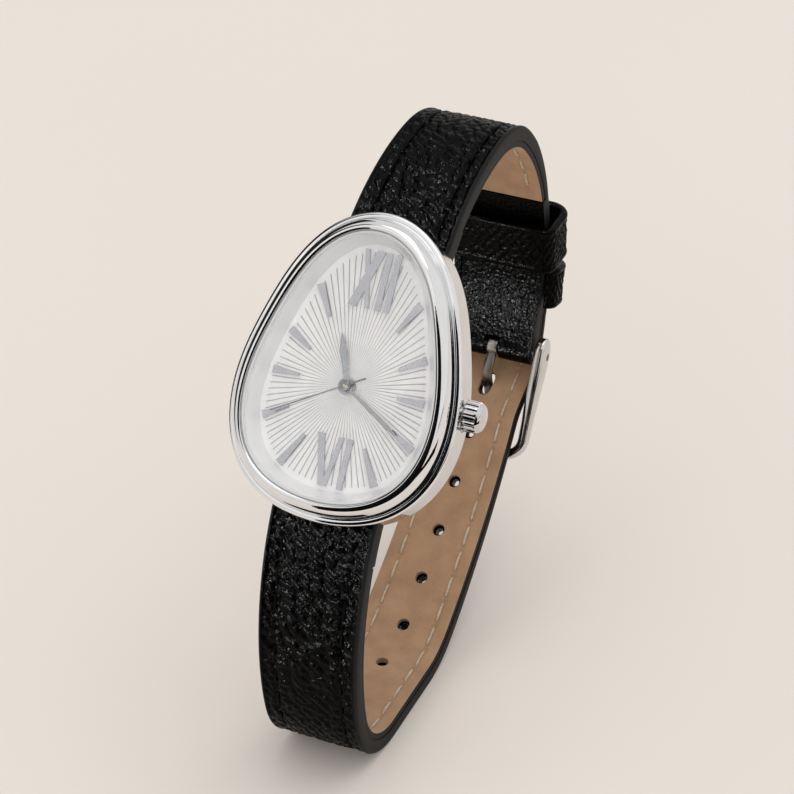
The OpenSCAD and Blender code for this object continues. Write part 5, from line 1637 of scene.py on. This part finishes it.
area("key", (0.5, 0.6, 2.75), (2.4, 2.4), 18.5, (1.0, 0.98, 0.96))
area("front fill", (0.2, -1.8, 1.0), (1.2, 0.8), 4.6, (1.0, 0.98, 0.96))
print("large lamps:", len(bpy.data.lights))

# %% Glints on the leather
leathers = bpy.data.collections.new("leathers")
for piece in (strap_12, strap_6, loose, fixed):
    leathers.objects.link(piece)
GLINTS = [(-0.25, -0.15, 0.8), (-0.3, -0.7, 0.1), (-0.7, -0.3, 0.15), (0.05, -0.5, 0.65)]
for i, place in enumerate(GLINTS):
    small = area("glint %d" % (i + 1), place, (0.05, 0.05), 5.0)
    small.visible_diffuse = False
    small.light_linking.receiver_collection = leathers

# %% World
world = bpy.data.worlds.new("studio")
bpy.context.scene.world = world
world.use_nodes = True
back = world.node_tree.nodes["Background"]
back.inputs["Color"].default_value = (1.0, 0.985, 0.97, 1)
back.inputs["Strength"].default_value = 0.75
print("room at", round(back.inputs["Strength"].default_value, 2), "of white")


# %% Cards
def card(name, corners, tone, glow=0.0):
    """A card that only reflections see, black or glowing white. Corners in metres."""
    mat, tree, bsdf = new_material(name)
    patch = wander(tree, coords(tree), 8.0)
    two_tone(tree, patch, (tone,) * 3, (tone * 1.1 + 0.002,) * 3, bsdf.inputs["Base Color"])
    bsdf.inputs["Roughness"].default_value = 0.9
    bsdf.inputs["Specular IOR Level"].default_value = 0.0
    bsdf.inputs["Emission Color"].default_value = (1, 0.98, 0.96, 1)
    bsdf.inputs["Emission Strength"].default_value = glow
    obj = finish_mesh(name, corners, [list(range(len(corners)))], flip_check=False)
    give(obj, mat)
    obj.visible_camera = False
    obj.visible_diffuse = False
    obj.visible_shadow = False
    obj.visible_transmission = False
    obj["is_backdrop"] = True
    return obj


def toward(azimuth, height, distance):
    """Point at a distance from the watch. Azimuth 0 is the dial's side, 90 the crown's side."""
    a, e = math.radians(azimuth), math.radians(height)
    return LOOK_AT + distance * Vector((math.sin(a) * math.cos(e), -math.cos(a) * math.cos(e), math.sin(e)))


def sky_card(name, corners, distance, tone, glow=0.0):
    """A card whose corners are directions from the watch, as azimuth and height in degrees."""
    return card(name, [toward(*c, distance) for c in corners], tone, glow)


# %% Cards where the rings look
sky_card("white card right", [(60, 10), (62, 55), (150, 58), (145, 2)], 0.55, 0.06, 0.8)
sky_card("grey strip", [(78, 6), (80, 54), (99, 54), (97, 6)], 0.5, 0.1)
sky_card("white card over the lens", [(-44, 27), (-40, 64), (45, 64), (50, 27)], 0.6, 0.06, 0.9)
sky_card("dark card left", [(-150, -3), (-150, 34), (-96, 36), (-84, 62), (-50, 62), (-58, -3)], 0.58, 0.02)
FRONT_Y, RIGHT_X, CARD_FOOT, BLACK = -0.06, 0.1, 0.003, 0.004
front_top = [(-0.0175, 0.1), (0.012, 0.122), (RIGHT_X, 0.155)]
card("dark card in front", [(-0.0175, FRONT_Y, CARD_FOOT)] + [(x, FRONT_Y, z) for x, z in front_top]
     + [(RIGHT_X, FRONT_Y, CARD_FOOT)], BLACK)
card("dark card right", [(RIGHT_X, FRONT_Y, CARD_FOOT), (RIGHT_X, FRONT_Y, 0.026),
                         (RIGHT_X, 0.012, 0.022), (RIGHT_X, 0.012, CARD_FOOT)], BLACK)


# %% [markdown]
# ## Sizes side by side
# The boxes round the solids and round the dressed watch are written side by side. The dressed one has
# to lie inside the other, because a piece that grew past its solid would stick out in a simulation.

# %% View settings and sizes
bpy.context.scene.view_settings.view_transform = "Standard"
bounds_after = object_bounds()


def plain_list(value):
    return [plain_list(v) for v in value] if hasattr(value, "__len__") else float(value)


{"solids": plain_list(bounds_before), "dressed": plain_list(bounds_after)}
print("solids", plain_list(bounds_before))
print("dressed", plain_list(bounds_after))
